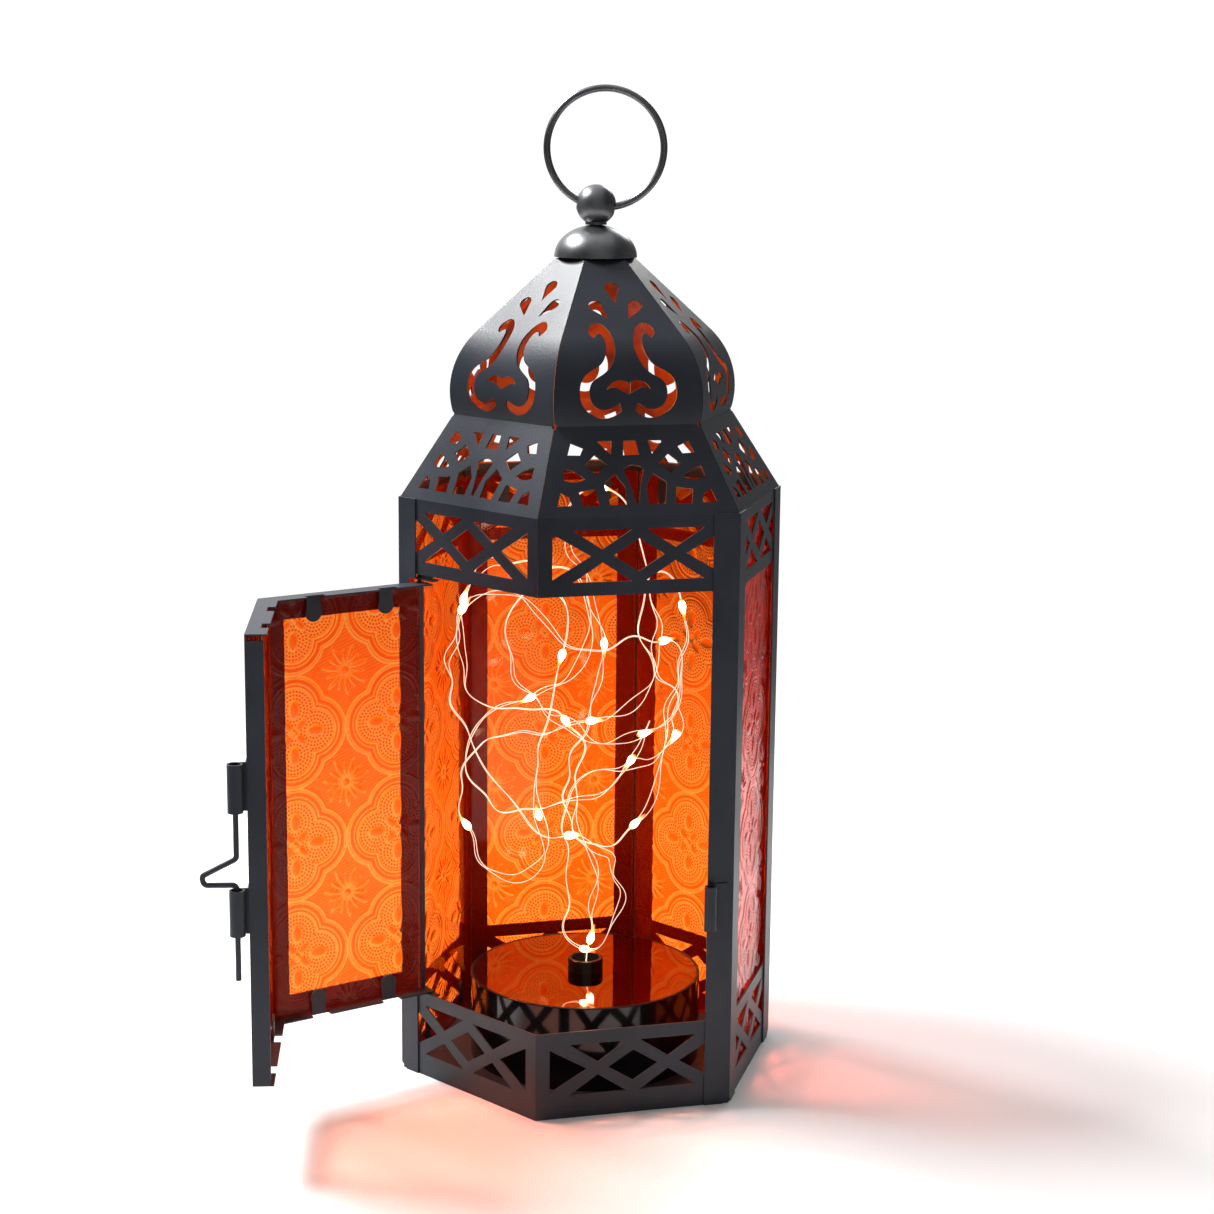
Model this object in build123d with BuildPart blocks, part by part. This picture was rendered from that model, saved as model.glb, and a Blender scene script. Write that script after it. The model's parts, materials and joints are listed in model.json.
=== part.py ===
from build123d import *
import os
from math import atan2, cos, degrees, pi, radians, sin, sqrt, tan

os.makedirs("parts", exist_ok=True)

# A six-sided Moroccan lantern of folded sheet steel and pressed amber glass. The origin is on the
# lantern's axis, on the surface it stands on, and the front face looks along -Y. The corner door
# is modelled standing open.

# ---------------------------------------------------------------- driving dimensions, mm, degrees
CORNER_R = 70.0                 # axis to the outside corner of the folded body
SHEET = 0.6                     # sheet steel
FOLD_Z = 211.0                  # the body's top edge, where the roof flare starts
BAND_Z = 184.5                  # lower edge of the upper lattice band
BASE_BAND_Z = 31.3              # top edge of the lower lattice band
BASE_PLATE_T = 0.8

SHOULDER = (51.0, 239.5)        # corner radius and height at the roof's shoulder
CROWN = (14.5, 293.5)           # corner radius and height where the roof's gores end
GORE_LEAN = 74.0                # the gore's direction as it leaves the shoulder, from horizontal
GORE_TURN = 60.3                # how far the gore bends in on its arc
GORE_RADIUS = 29.85

POST_LEG = 9.3                  # each leg of a corner post
LATCH_POST_LEG = 9.0            # leg beside the door's free edge
HINGE_POST_LEG = 8.4            # leg above and below the door's hinge edge
HINGE_POST_NECK = 4.8           # the same leg along the door

GLASS_T = 3.1
GLASS_GAP = 0.05                # between a pane and the sheet it lies on

DOOR_OPEN = 101.0               # the door stands this far open
DOOR_Z = (31.5, 181.3)
HINGE_S = 8.2                   # hinge axis, along the face from the hinge post's corner
HINGE_DEPTH = 1.6               # hinge axis, behind the outer face
HINGE_LAP = 2.2                 # the leaf runs this far past its hinge axis
DOOR_FLANGE = 7.0               # inward flanges along the leaves' top and bottom
DOOR_EDGE_FLANGE = 6.0          # inward flange along the free edge
DOOR_END_X = 25.5               # the free edge, from the middle of the front face
PIN_R = 0.8
PIN_CLEARANCE = 0.05

BOLT_R = 0.9
BOLT_X = 26.1                   # bolt axis, from the middle of the front face
BOLT_OUT = 3.7                  # bolt axis, in front of the front face
BOLT_Z = (68.1, 137.0)
BOLT_JOG = 10.2                 # how far the bolt's finger loop stands out
GUIDE_R = 2.55
GUIDE_WALL = 0.6
UPPER_GUIDE_Z = (123.8, 139.7)
LOWER_GUIDE_Z = (83.0, 98.2)
KEEPER_R = 2.15
KEEPER_Z = (65.5, 81.4)

CAP_R = 14.6
CAP_Z = 293.9
CAP_HEIGHT = 11.2
BALL_R = 7.05
BALL_Z = 312.0
RING_R = 20.4                   # centre line of the hanging ring
RING_WIRE_R = 1.25
RING_SAG = 0.6                  # the ring's wire crosses the ball this far under its centre
RING_HOLE_R = 2.1
RING_TILT = 9.0                 # the ring leans this far in its own plane
RING_TURN = -15.2               # the ring's plane, about the axis, from the front face

PUCK_CENTRE = (-1.5, 0.4)
PUCK_R = 42.4
PUCK_Z = (0.85, 31.8)
PUCK_WALL = 1.6
COLLAR_R = 6.5
COLLAR_BORE = 5.0
COLLAR_Z = 36.5
CELL_R = 7.1
CELL_LENGTH = 50.0
CELL_PITCH = 15.5
CELL_Z = 10.2

STRING_R = 0.45                 # the fairy-light lead: two strands side by side
LED_R = 1.5
LED_LENGTH = 5.0

# ---------------------------------------------------------------- derived sizes
COS30 = cos(radians(30))
APOTHEM = CORNER_R * COS30
HALF_FACE = CORNER_R / 2
FACES = {"front": 270, "front_right": 330, "back_right": 30, "back": 90,
         "back_left": 150, "front_left": 210}
DOOR_FACES = ("front_left", "front")


def polar(radius, angle):
    return Vector(radius * cos(radians(angle)), radius * sin(radians(angle)), 0)


def face_plane(face, out=0.0):
    """A face's outer surface, moved out by `out`: X along the face, Y up, Z outwards."""
    normal = polar(1, FACES[face])
    return Plane(origin=normal * (APOTHEM + out), x_dir=(-normal.Y, normal.X, 0), z_dir=normal)


def section_plane(face):
    """The upright plane through the axis and a face's middle: X outwards, Y up."""
    normal = polar(1, FACES[face])
    return Plane(origin=(0, 0, 0), x_dir=normal, z_dir=(normal.Y, -normal.X, 0))


def on_face(face, x, depth):
    """The plan point at x along a face and depth behind its outer surface."""
    normal = polar(1, FACES[face])
    along = Vector(-normal.Y, normal.X, 0)
    return normal * (APOTHEM - depth) + along * x


def flat(*points):
    return [(p.X, p.Y) for p in points]


def strip(face, x0, x1, depth0, depth1):
    """Plan outline of a strip along a face, mitred where an end lies on the face's corner."""
    ends = []
    for x in (x0, x1):
        mitre = tan(radians(30)) if abs(abs(x) - HALF_FACE) < 1e-6 else 0
        ends.append([x - (mitre * depth if x > 0 else -mitre * depth) for depth in (depth0, depth1)])
    return flat(on_face(face, ends[0][0], depth0), on_face(face, ends[1][0], depth0),
                on_face(face, ends[1][1], depth1), on_face(face, ends[0][1], depth1))


HINGE = on_face("front_left", HINGE_S - HALF_FACE, HINGE_DEPTH)
BOLT_AXIS = on_face("front", BOLT_X, -BOLT_OUT)


def swung(plane):
    """A plane of the closed door, turned about the hinge to where the door stands."""
    arm = Vector(plane.origin.X - HINGE.X, plane.origin.Y - HINGE.Y, plane.origin.Z)
    origin = arm.rotate(Axis.Z, -DOOR_OPEN) + Vector(HINGE.X, HINGE.Y, 0)
    return Plane(origin=origin, x_dir=plane.x_dir.rotate(Axis.Z, -DOOR_OPEN),
                 z_dir=plane.z_dir.rotate(Axis.Z, -DOOR_OPEN))


def level(z):
    return Plane.XY.offset(z)


def save(builder, label):
    builder.part.label = label
    export_step(builder.part, f"parts/{label}.step")


# ---------------------------------------------------------------- punched patterns
def lattice(middle, half_height):
    """The band's two crossed bars: a diamond, two end triangles and four flat triangles."""
    with BuildSketch() as windows:
        Polygon((-9, middle), (0, middle + 5.6), (9, middle), (0, middle - 5.6), align=None)
        for side in (-1, 1):
            Polygon((side * 16.6, middle), (side * 30, middle + 7.8), (side * 30, middle - 7.8), align=None)
            for up in (-1, 1):
                far = middle + up * half_height
                near = far - up * 0.75 * half_height
                Polygon((side * 2.4, far), (side * 23, far), (side * 12.7, near), align=None)
    return windows.sketch


def arcade():
    """The flare's interlaced arches. Y is measured up the flare from the body's fold."""
    base = 26.5
    right_holes = [
        [(6.3, 54.0), (11.6, 53.9), (8.6, 50.4), (7.2, 48.9)],
        [(20.6, 53.4), (22.2, 49.0), (17.9, 48.8), (16.5, 51.5)],
        [(12.9, 48.9), (16.8, 45.3), (12.9, 41.7), (9.0, 45.3)],
        [(14.1, 36.7), (20.0, 35.8), (18.8, 30.5), (13.2, 30.6)],
        [(26.2, 35.7), (23.4, 34.0), (22.5, 30.8), (27.8, 30.7)],
        [(6.6, 41.8), (11.0, 38.6), (9.6, 30.7), (3.9, 30.7), (3.6, 37.0)],
    ]
    with BuildSketch() as holes:
        for outline in right_holes:
            Polygon(*[(x, y - base) for x, y in outline], align=None)
        with BuildLine():
            tip, heel, toe = (17.1, 40.2 - base), (24.8, 40.3 - base), (23.8, 44.2 - base)
            ThreePointArc(tip, (20.8, 39.2 - base), heel)
            Line(heel, toe)
            ThreePointArc(toe, (20.2, 42.8 - base), tip)
        make_face()
        mirror(about=Plane.YZ)
        Polygon((-2.15, 54 - base), (2.15, 54 - base), (3.0, 48.6 - base), (-3.0, 48.6 - base), align=None)
        with BuildLine():
            ThreePointArc((-3.6, 43.3 - base), (0, 45 - base), (3.6, 43.3 - base))
            Spline((3.6, 43.3 - base), (2.3, 39.5 - base), (0.6, 31 - base))
            Line((0.6, 31 - base), (-0.6, 31 - base))
            Spline((-0.6, 31 - base), (-2.3, 39.5 - base), (-3.6, 43.3 - base))
        make_face()
    return holes.sketch


def teardrop(tip, middle, radius):
    """A drop with a round end and two tangent sides that meet in a point."""
    reach = sqrt((middle[0] - tip[0]) ** 2 + (middle[1] - tip[1]) ** 2)
    lean = degrees(atan2(middle[1] - tip[1], middle[0] - tip[0]))
    half = degrees(atan2(sqrt(reach ** 2 - radius ** 2), radius))
    ends = []
    for turn in (-half, half):
        towards = radians(lean + 180 + turn)
        ends.append((middle[0] + radius * cos(towards), middle[1] + radius * sin(towards)))
    round_end = (middle[0] + radius * cos(radians(lean)), middle[1] + radius * sin(radians(lean)))
    with BuildLine() as outline:
        Line(tip, ends[0])
        ThreePointArc(ends[0], round_end, ends[1])
        Line(ends[1], tip)
    return outline.line


# ---------------------------------------------------------------- roof section, at a face's middle
FOLD_PT = (APOTHEM, FOLD_Z)
SHOULDER_PT = (SHOULDER[0] * COS30, SHOULDER[1])
CROWN_PT = (CROWN[0] * COS30, CROWN[1])
FLARE_LENGTH = sqrt((FOLD_PT[0] - SHOULDER_PT[0]) ** 2 + (SHOULDER_PT[1] - FOLD_PT[1]) ** 2)
BAND_HEIGHT = FOLD_Z - BAND_Z
SHOULDER_S = BAND_HEIGHT + FLARE_LENGTH          # lengths along the sheet from the band's lower edge
ARC_LENGTH = GORE_RADIUS * radians(GORE_TURN)
ARC_CENTRE = (SHOULDER_PT[0] - GORE_RADIUS * sin(radians(GORE_LEAN)),
              SHOULDER_PT[1] + GORE_RADIUS * cos(radians(GORE_LEAN)))


def gore_point(s):
    """Distance from the axis and height at length s along the sheet, above the shoulder."""
    turned = min((s - SHOULDER_S) / GORE_RADIUS, radians(GORE_TURN))
    heading = radians(GORE_LEAN) + turned
    past = max(s - SHOULDER_S - ARC_LENGTH, 0)
    return (ARC_CENTRE[0] + GORE_RADIUS * sin(heading) + past * cos(heading),
            ARC_CENTRE[1] - GORE_RADIUS * cos(heading) + past * sin(heading))


ARC_END = gore_point(SHOULDER_S + ARC_LENGTH)
GORE_SLOPE = GORE_LEAN + GORE_TURN


def flare_plane(face):
    """The flare's outer surface: X along the face, Y up the slope from the fold."""
    normal = polar(1, FACES[face])
    up = normal * (SHOULDER_PT[0] - FOLD_PT[0]) + Vector(0, 0, SHOULDER_PT[1] - FOLD_PT[1])
    along = Vector(-normal.Y, normal.X, 0)
    return Plane(origin=normal * FOLD_PT[0] + Vector(0, 0, FOLD_PT[1]), x_dir=along, z_dir=along.cross(up))


def slope_plane(face):
    """The gore's straight upper part: X along the face, Y up the slope from the arc's end."""
    normal = polar(1, FACES[face])
    up = normal * cos(radians(GORE_SLOPE)) + Vector(0, 0, sin(radians(GORE_SLOPE)))
    along = Vector(-normal.Y, normal.X, 0)
    return Plane(origin=normal * ARC_END[0] + Vector(0, 0, ARC_END[1]), x_dir=along, z_dir=along.cross(up))


def scrolls():
    """The dome's pair of S-scrolls over a winged hole, set out by length along the sheet."""
    outer = [(10.0, 90.6), (7.6, 92.3), (6.4, 88.0), (7.2, 83.6), (8.8, 80.8), (12.5, 78.4), (15.8, 75.5),
             (17.0, 71.0), (15.9, 66.4), (12.5, 63.3), (8.5, 62.0), (4.8, 62.8), (2.4, 64.6)]
    inner = [(3.1, 67.3), (5.9, 65.7), (9.3, 65.1), (12.3, 66.7), (13.6, 70.5), (12.4, 74.4), (9.3, 76.5),
             (6.2, 79.0), (4.2, 82.5), (3.3, 88.5), (4.8, 94.4), (8.2, 97.2), (11.5, 94.2), (10.0, 90.6)]
    wing = [(7.7, 71.8), (5.9, 74.0), (3.3, 74.9), (0, 73.8)]
    under = [(0, 70.3), (2.0, 71.2), (4.7, 72.5), (7.7, 71.8)]

    def raised(points):
        return [(x, gore_point(s)[1]) for x, s in points]

    with BuildSketch() as holes:
        with BuildLine():
            Spline(*raised(outer))
            Line(*raised([outer[-1], inner[0]]))
            Spline(*raised(inner))
        make_face()
        with BuildLine():
            Spline(*raised(wing))
            Line(*raised([wing[-1], under[0]]))
            Spline(*raised(under))
        make_face()
        mirror(about=Plane.YZ)
    return holes.sketch


def drops():
    """Three teardrops near the crown, on the gore's straight part."""
    base = SHOULDER_S + ARC_LENGTH
    with BuildSketch() as holes:
        for tip, middle, radius in [((3.4, 98.9), (7.1, 105.0), 2.4), ((0, 106.2), (0, 112.9), 2.5),
                                    ((-3.4, 98.9), (-7.1, 105.0), 2.4)]:
            with BuildLine():
                add(teardrop((tip[0], tip[1] - base), (middle[0], middle[1] - base), radius))
            make_face()
    return holes.sketch


def wedge(face, gap):
    """Plan outline of one sixth of the lantern, set back by gap from both corner planes."""
    tip = polar(2 * gap, FACES[face])
    reach = 2 * CORNER_R
    return flat(tip, tip + polar(reach, FACES[face] - 30), tip + polar(reach, FACES[face] + 30))


# ---------------------------------------------------------------- body
LATTICE_LOW = lattice(17.4, 9.2)
LATTICE_HIGH = lattice(197.9, 8.8)
ARCADE = arcade()
SCROLLS = scrolls()
DROPS = drops()

with BuildPart() as base_plate:
    with BuildSketch():
        RegularPolygon((APOTHEM - SHEET - GLASS_GAP) / COS30, 6)
    extrude(amount=BASE_PLATE_T)
save(base_plate, "base_plate")

for face in FACES:
    with BuildPart() as base_band:
        with BuildSketch():
            Polygon(*strip(face, -HALF_FACE, HALF_FACE, 0, SHEET), align=None)
        extrude(amount=BASE_BAND_Z)
        with BuildSketch(face_plane(face)):
            add(LATTICE_LOW)
        extrude(amount=2, both=True, mode=Mode.SUBTRACT)
    save(base_band, f"base_band_{face}")

    with BuildPart() as roof_panel:
        with BuildSketch(section_plane(face)):
            with BuildLine():
                foot = Line((APOTHEM, BAND_Z), FOLD_PT)
                Line(FOLD_PT, SHOULDER_PT)
                gore = JernArc(SHOULDER_PT, (cos(radians(GORE_LEAN)), sin(radians(GORE_LEAN))),
                               GORE_RADIUS, GORE_TURN)
                Line(gore @ 1, CROWN_PT)
                offset(amount=SHEET, side=Side.LEFT, kind=Kind.INTERSECTION)
            make_face()
        extrude(amount=HALF_FACE + 5, both=True)
        with BuildSketch():
            Polygon(*wedge(face, 0.1), align=None)
        extrude(amount=CROWN[1] + 10, mode=Mode.INTERSECT)
        with BuildSketch(face_plane(face)):
            add(LATTICE_HIGH)
        extrude(amount=2, both=True, mode=Mode.SUBTRACT)
        with BuildSketch(flare_plane(face)):
            add(ARCADE)
        extrude(amount=2, both=True, mode=Mode.SUBTRACT)
        with BuildSketch(face_plane(face)):
            add(SCROLLS)
        extrude(amount=-CORNER_R / 2, mode=Mode.SUBTRACT)
        with BuildSketch(slope_plane(face)):
            add(DROPS)
        extrude(amount=2, both=True, mode=Mode.SUBTRACT)
        with BuildSketch(face_plane(face)):
            with Locations((-SHOULDER[0] / 2, SHOULDER[1]), (SHOULDER[0] / 2, SHOULDER[1])):
                Circle(0.9)
        extrude(amount=-CORNER_R / 2, mode=Mode.SUBTRACT)
    save(roof_panel, f"roof_panel_{face}")


def post(label, corner, before, after, neck=None):
    """An angle of sheet round a corner, with one leg on the face before it and one on the face after.
    neck narrows the second leg along the door."""
    ends = []
    for length, side in ((before, -1), (after, 1)):
        end = polar(APOTHEM / COS30, corner) + polar(length, corner + side * 120)
        ends.append((end + polar(SHEET, corner + side * 30), end))
    tip = polar((APOTHEM + SHEET) / COS30, corner)
    with BuildPart() as angle:
        with BuildSketch():
            Polygon(*flat(tip, ends[0][0], ends[0][1], polar(APOTHEM / COS30, corner),
                          ends[1][1], ends[1][0]), align=None)
        extrude(amount=FOLD_Z)
        with BuildSketch(Plane(origin=tip, x_dir=polar(1, corner + 90), z_dir=polar(1, corner))):
            Polygon((-2.4, 0), (2.4, 0), (0, 2.2), align=None)
        extrude(amount=5, both=True, mode=Mode.SUBTRACT)
        if neck:
            with BuildSketch(face_plane("front_left")):
                with Locations((after - HALF_FACE, (DOOR_Z[0] + DOOR_Z[1]) / 2)):
                    RectangleRounded(2 * (after - neck), DOOR_Z[1] - DOOR_Z[0] + 3, 1.5)
            extrude(amount=2, both=True, mode=Mode.SUBTRACT)
    save(angle, label)


post("corner_post_hinge_side", 180, POST_LEG, HINGE_POST_LEG, neck=HINGE_POST_NECK)
post("corner_post_latch_side", 300, LATCH_POST_LEG, POST_LEG)
post("corner_post_right", 0, POST_LEG, POST_LEG)
post("corner_post_back_right", 60, POST_LEG, POST_LEG)
post("corner_post_back_left", 120, POST_LEG, POST_LEG)

# ---------------------------------------------------------------- fixed panes and their clips
GLASS_FRONT = SHEET + GLASS_GAP
GLASS_BACK = GLASS_FRONT + GLASS_T
PANE_HALF = HALF_FACE - GLASS_BACK * tan(radians(30)) - 0.4
PANE_Z = (1.2, 209.6)
CLIP_Z = (10.0, 203.0)
FIXED_FACES = [face for face in FACES if face not in DOOR_FACES]

for face in FIXED_FACES:
    with BuildPart() as pane:
        with BuildSketch(level(PANE_Z[0])):
            Polygon(*strip(face, -PANE_HALF, PANE_HALF, GLASS_FRONT, GLASS_BACK), align=None)
        extrude(amount=PANE_Z[1] - PANE_Z[0])
    save(pane, f"glass_{face}")

for z, label in zip(CLIP_Z, ("glass_clips_lower", "glass_clips_upper")):
    with BuildPart() as clips:
        for face in FIXED_FACES:
            for x in (-20, 20):
                with BuildSketch(face_plane(face, -GLASS_BACK)):
                    with Locations((x, z)):
                        SlotOverall(9, 4, rotation=90)
                extrude(amount=-SHEET)
    save(clips, label)

# ---------------------------------------------------------------- door
LEAF_X = {"front_left": (HINGE_S - HALF_FACE - HINGE_LAP, HALF_FACE), "front": (-HALF_FACE, DOOR_END_X)}
LEAF_WINDOW = {"front_left": (-19.0, 26.0), "front": (-26.0, 16.0)}
LEAF_GLASS = {"front_left": (HINGE_S - HALF_FACE + 1.3, PANE_HALF), "front": (-PANE_HALF, DOOR_END_X - 1.0)}
LEAF_BORDER = 8.0
TAB_X = {"front_left": (-11.8, 16.2), "front": (-16.2, 11.8)}
TAB_HALF = 2.65
TAB_HEAD_R = 3.0
TAB_DROP = 6.2
TAB_DEPTH = GLASS_BACK + 0.1
EDGE_FLANGE_GAP = 1.5

for face, label in zip(("front_left", "front"), ("door_frame_left", "door_frame_right")):
    x0, x1 = LEAF_X[face]
    height = DOOR_Z[1] - DOOR_Z[0]
    with BuildPart() as leaf:
        with BuildSketch(swung(level(DOOR_Z[0]))):
            Polygon(*strip(face, x0, x1, 0, SHEET), align=None)
        extrude(amount=height)
        for z in (DOOR_Z[0], DOOR_Z[1] - SHEET):
            with BuildSketch(swung(level(z))):
                Polygon(*strip(face, x0, x1, 0, DOOR_FLANGE), align=None)
            extrude(amount=SHEET)
        if face == "front":
            with BuildSketch(swung(level(DOOR_Z[0]))):
                Polygon(*strip(face, x1 - SHEET, x1, 0, DOOR_EDGE_FLANGE), align=None)
            extrude(amount=height - SHEET - EDGE_FLANGE_GAP)
        for x in TAB_X[face]:
            with BuildSketch(swung(level(DOOR_Z[0]))):
                Polygon(*strip(face, x - TAB_HALF - 0.9, x + TAB_HALF + 0.9, TAB_DEPTH + SHEET,
                               DOOR_FLANGE + 1), align=None)
            extrude(amount=height, mode=Mode.SUBTRACT)
        left, right = LEAF_WINDOW[face]
        with BuildSketch(swung(face_plane(face))):
            with Locations(((left + right) / 2, (DOOR_Z[0] + DOOR_Z[1]) / 2)):
                Rectangle(right - left, height - 2 * LEAF_BORDER)
        extrude(amount=-2 * SHEET, mode=Mode.SUBTRACT)
        for end, down in ((DOOR_Z[1], -1), (DOOR_Z[0], 1)):
            for x in TAB_X[face]:
                with BuildSketch(swung(face_plane(face, -TAB_DEPTH))):
                    with Locations((x, end + down * TAB_DROP / 2)):
                        Rectangle(2 * TAB_HALF, TAB_DROP)
                    with Locations((x, end + down * TAB_DROP)):
                        Circle(TAB_HEAD_R)
                extrude(amount=-SHEET)
        if face == "front_left":
            with BuildSketch(swung(level(DOOR_Z[0]))):
                with Locations((HINGE.X, HINGE.Y)):
                    Circle(PIN_R)
            extrude(amount=height, mode=Mode.SUBTRACT)
    save(leaf, label)

    with BuildPart() as pane:
        with BuildSketch(swung(level(DOOR_Z[0] + SHEET + 0.3))):
            Polygon(*strip(face, *LEAF_GLASS[face], GLASS_FRONT, GLASS_BACK), align=None)
        extrude(amount=height - 2 * SHEET - 0.6)
    save(pane, label.replace("frame", "glass"))

# The hinge: a pin through each end of the leaf turns in a bracket behind the lattice band.
PIN_HEAD_R = 0.95
PIN_HEAD_T = 0.5
BRACKET_DEPTH = 3.6
BRACKET_Z = {"lower": 30.6, "upper": 182.5}
BRACKET_LEG_Z = {"lower": 27.0, "upper": 188.8}
PIN_SPAN = {"lower": (28.6, DOOR_Z[0] + SHEET), "upper": (DOOR_Z[1] - SHEET, 184.2)}
PIN_HEAD_Z = {"lower": DOOR_Z[0] + SHEET, "upper": DOOR_Z[1] - SHEET - PIN_HEAD_T}
HINGE_X = HINGE_S - HALF_FACE

for end in ("lower", "upper"):
    with BuildPart() as pin:
        with BuildSketch(level(PIN_SPAN[end][0])):
            with Locations((HINGE.X, HINGE.Y)):
                Circle(PIN_R)
        extrude(amount=PIN_SPAN[end][1] - PIN_SPAN[end][0])
        with BuildSketch(level(PIN_HEAD_Z[end])):
            with Locations((HINGE.X, HINGE.Y)):
                Circle(PIN_HEAD_R)
        extrude(amount=PIN_HEAD_T)
    save(pin, f"hinge_pin_{end}")

    plate_z, leg_z = BRACKET_Z[end], BRACKET_LEG_Z[end]
    with BuildPart() as bracket:
        with BuildSketch(level(plate_z)):
            Polygon(*strip("front_left", HINGE_X - 1.8, HINGE_X + 8, SHEET, BRACKET_DEPTH), align=None)
            with Locations((HINGE.X, HINGE.Y)):
                Circle(PIN_R + PIN_CLEARANCE, mode=Mode.SUBTRACT)
        extrude(amount=SHEET)
        with BuildSketch(level(min(plate_z, leg_z))):
            Polygon(*strip("front_left", HINGE_X + 2.2, HINGE_X + 8, SHEET, 2 * SHEET), align=None)
        extrude(amount=abs(leg_z - plate_z))
    save(bracket, f"hinge_bracket_{end}")


# ---------------------------------------------------------------- latch
def rolled_tube(radius, root_side, foot, plate):
    """Plan of a tube rolled from a strip, whose tail runs back to a plate on the sheet behind.
    root_side is -1 or 1: the side of the tube that the tail leaves; foot is the plate's depth."""
    edge = BOLT_X + root_side * radius
    inner = edge - root_side * GUIDE_WALL
    with BuildSketch() as plan:
        with Locations((BOLT_AXIS.X, BOLT_AXIS.Y)):
            Circle(radius)
        Polygon(*strip("front", min(edge, inner), max(edge, inner), -BOLT_OUT, foot), align=None)
        far = edge + root_side * plate
        Polygon(*strip("front", min(far, inner), max(far, inner), foot - GUIDE_WALL, foot), align=None)
        with Locations((BOLT_AXIS.X, BOLT_AXIS.Y)):
            Circle(radius - GUIDE_WALL, mode=Mode.SUBTRACT)
    return plan.sketch


for span, label in ((UPPER_GUIDE_Z, "bolt_guide_upper"), (LOWER_GUIDE_Z, "bolt_guide_lower")):
    with BuildPart() as guide:
        with BuildSketch(swung(level(span[0]))):
            add(rolled_tube(GUIDE_R, -1, 0, 6.5))
        extrude(amount=span[1] - span[0])
    save(guide, label)

with BuildPart() as bolt_keeper:
    with BuildSketch(level(KEEPER_Z[0])):
        add(rolled_tube(KEEPER_R, 1, -SHEET, 5.0))
    extrude(amount=KEEPER_Z[1] - KEEPER_Z[0])
save(bolt_keeper, "bolt_keeper")

bolt_plane = swung(Plane(origin=BOLT_AXIS, x_dir=(0, -1, 0), z_dir=(-1, 0, 0)))
with BuildPart() as latch_bolt:
    with BuildLine(bolt_plane) as wire:
        FilletPolyline((0, BOLT_Z[1]), (0, 108.6), (BOLT_JOG + 0.9, 102.9), (BOLT_JOG + 0.2, 99.9),
                       (0, 99.9), (0, BOLT_Z[0]), radius=1.5)
    with BuildSketch(Plane(origin=wire.wires()[0] @ 0, z_dir=wire.wires()[0] % 0)):
        Circle(BOLT_R)
    sweep(path=wire.wires()[0])
save(latch_bolt, "latch_bolt")

# ---------------------------------------------------------------- crown and hanging ring
CAP_WALL = 0.8
STUD_R = 2.0
NECK_R = 3.8
TOP_PLATE_Z = 291.0
NUT_Z = 288.2
ring_along = polar(1, RING_TURN)
ring_up = ring_along * sin(radians(RING_TILT)) + Vector(0, 0, cos(radians(RING_TILT)))
hole_axis = ring_along * cos(radians(RING_TILT)) - Vector(0, 0, sin(radians(RING_TILT)))
ball_centre = Vector(0, 0, BALL_Z)
ring_centre = ball_centre + ring_up * (RING_R - RING_SAG)

with BuildPart() as cap_dome:
    with BuildSketch(Plane.XZ):
        with Locations((0, CAP_Z)):
            Ellipse(CAP_R, CAP_HEIGHT)
            Ellipse(CAP_R - CAP_WALL, CAP_HEIGHT - CAP_WALL, mode=Mode.SUBTRACT)
        with Locations((STUD_R + 0.05, CAP_Z)):
            Rectangle(CAP_R, CAP_HEIGHT, align=(Align.MIN, Align.MIN), mode=Mode.INTERSECT)
    revolve(axis=Axis.Z)
save(cap_dome, "cap_dome")

with BuildPart() as finial_ball:
    with Locations(ball_centre):
        Sphere(BALL_R)
    with BuildSketch(level(CAP_Z + CAP_HEIGHT)):
        Circle(NECK_R)
    extrude(amount=3)
    with BuildSketch(level(NUT_Z - 0.8)):
        Circle(STUD_R)
    extrude(amount=CAP_Z + CAP_HEIGHT - NUT_Z + 1.8)
    with BuildSketch(Plane(origin=ball_centre, z_dir=hole_axis)):
        Circle(RING_HOLE_R)
    extrude(amount=2 * BALL_R, both=True, mode=Mode.SUBTRACT)
save(finial_ball, "finial_ball")

with BuildPart() as roof_top_plate:
    with BuildSketch(level(TOP_PLATE_Z)):
        RegularPolygon(13.1 / COS30, 6)
        Circle(STUD_R + 0.1, mode=Mode.SUBTRACT)
    extrude(amount=CAP_WALL)
save(roof_top_plate, "roof_top_plate")

with BuildPart() as finial_nut:
    with BuildSketch(level(NUT_Z)):
        RegularPolygon(3.9, 6)
        Circle(STUD_R + 0.02, mode=Mode.SUBTRACT)
    extrude(amount=TOP_PLATE_Z - NUT_Z)
save(finial_nut, "finial_nut")

with BuildPart(Plane(origin=ring_centre, x_dir=ring_along, z_dir=ring_up.cross(hole_axis))) as hanging_ring:
    Torus(RING_R, RING_WIRE_R)
save(hanging_ring, "hanging_ring")


# ---------------------------------------------------------------- light puck
def puck_level(z):
    return Plane(origin=(*PUCK_CENTRE, z))


LID_Z = 30.2
MIRROR_R = 41.2
MIRROR_Z = 31.1
FLOOR_TOP = PUCK_Z[0] + PUCK_WALL
BAY = (49.0, 54.0)
SCREW_RING = 36.0
BOSS_R = 3.0
BOSS_SPLIT = 16.0
SCREW_R = 1.1
SCREW_HEAD_R = 2.3
SWITCH_AT = (33.5, 0)
SWITCH_TRAVEL = 3.0
KNOB = (1.8, 2.4)
BOARD_AT = (-33.0, 0)

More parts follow.
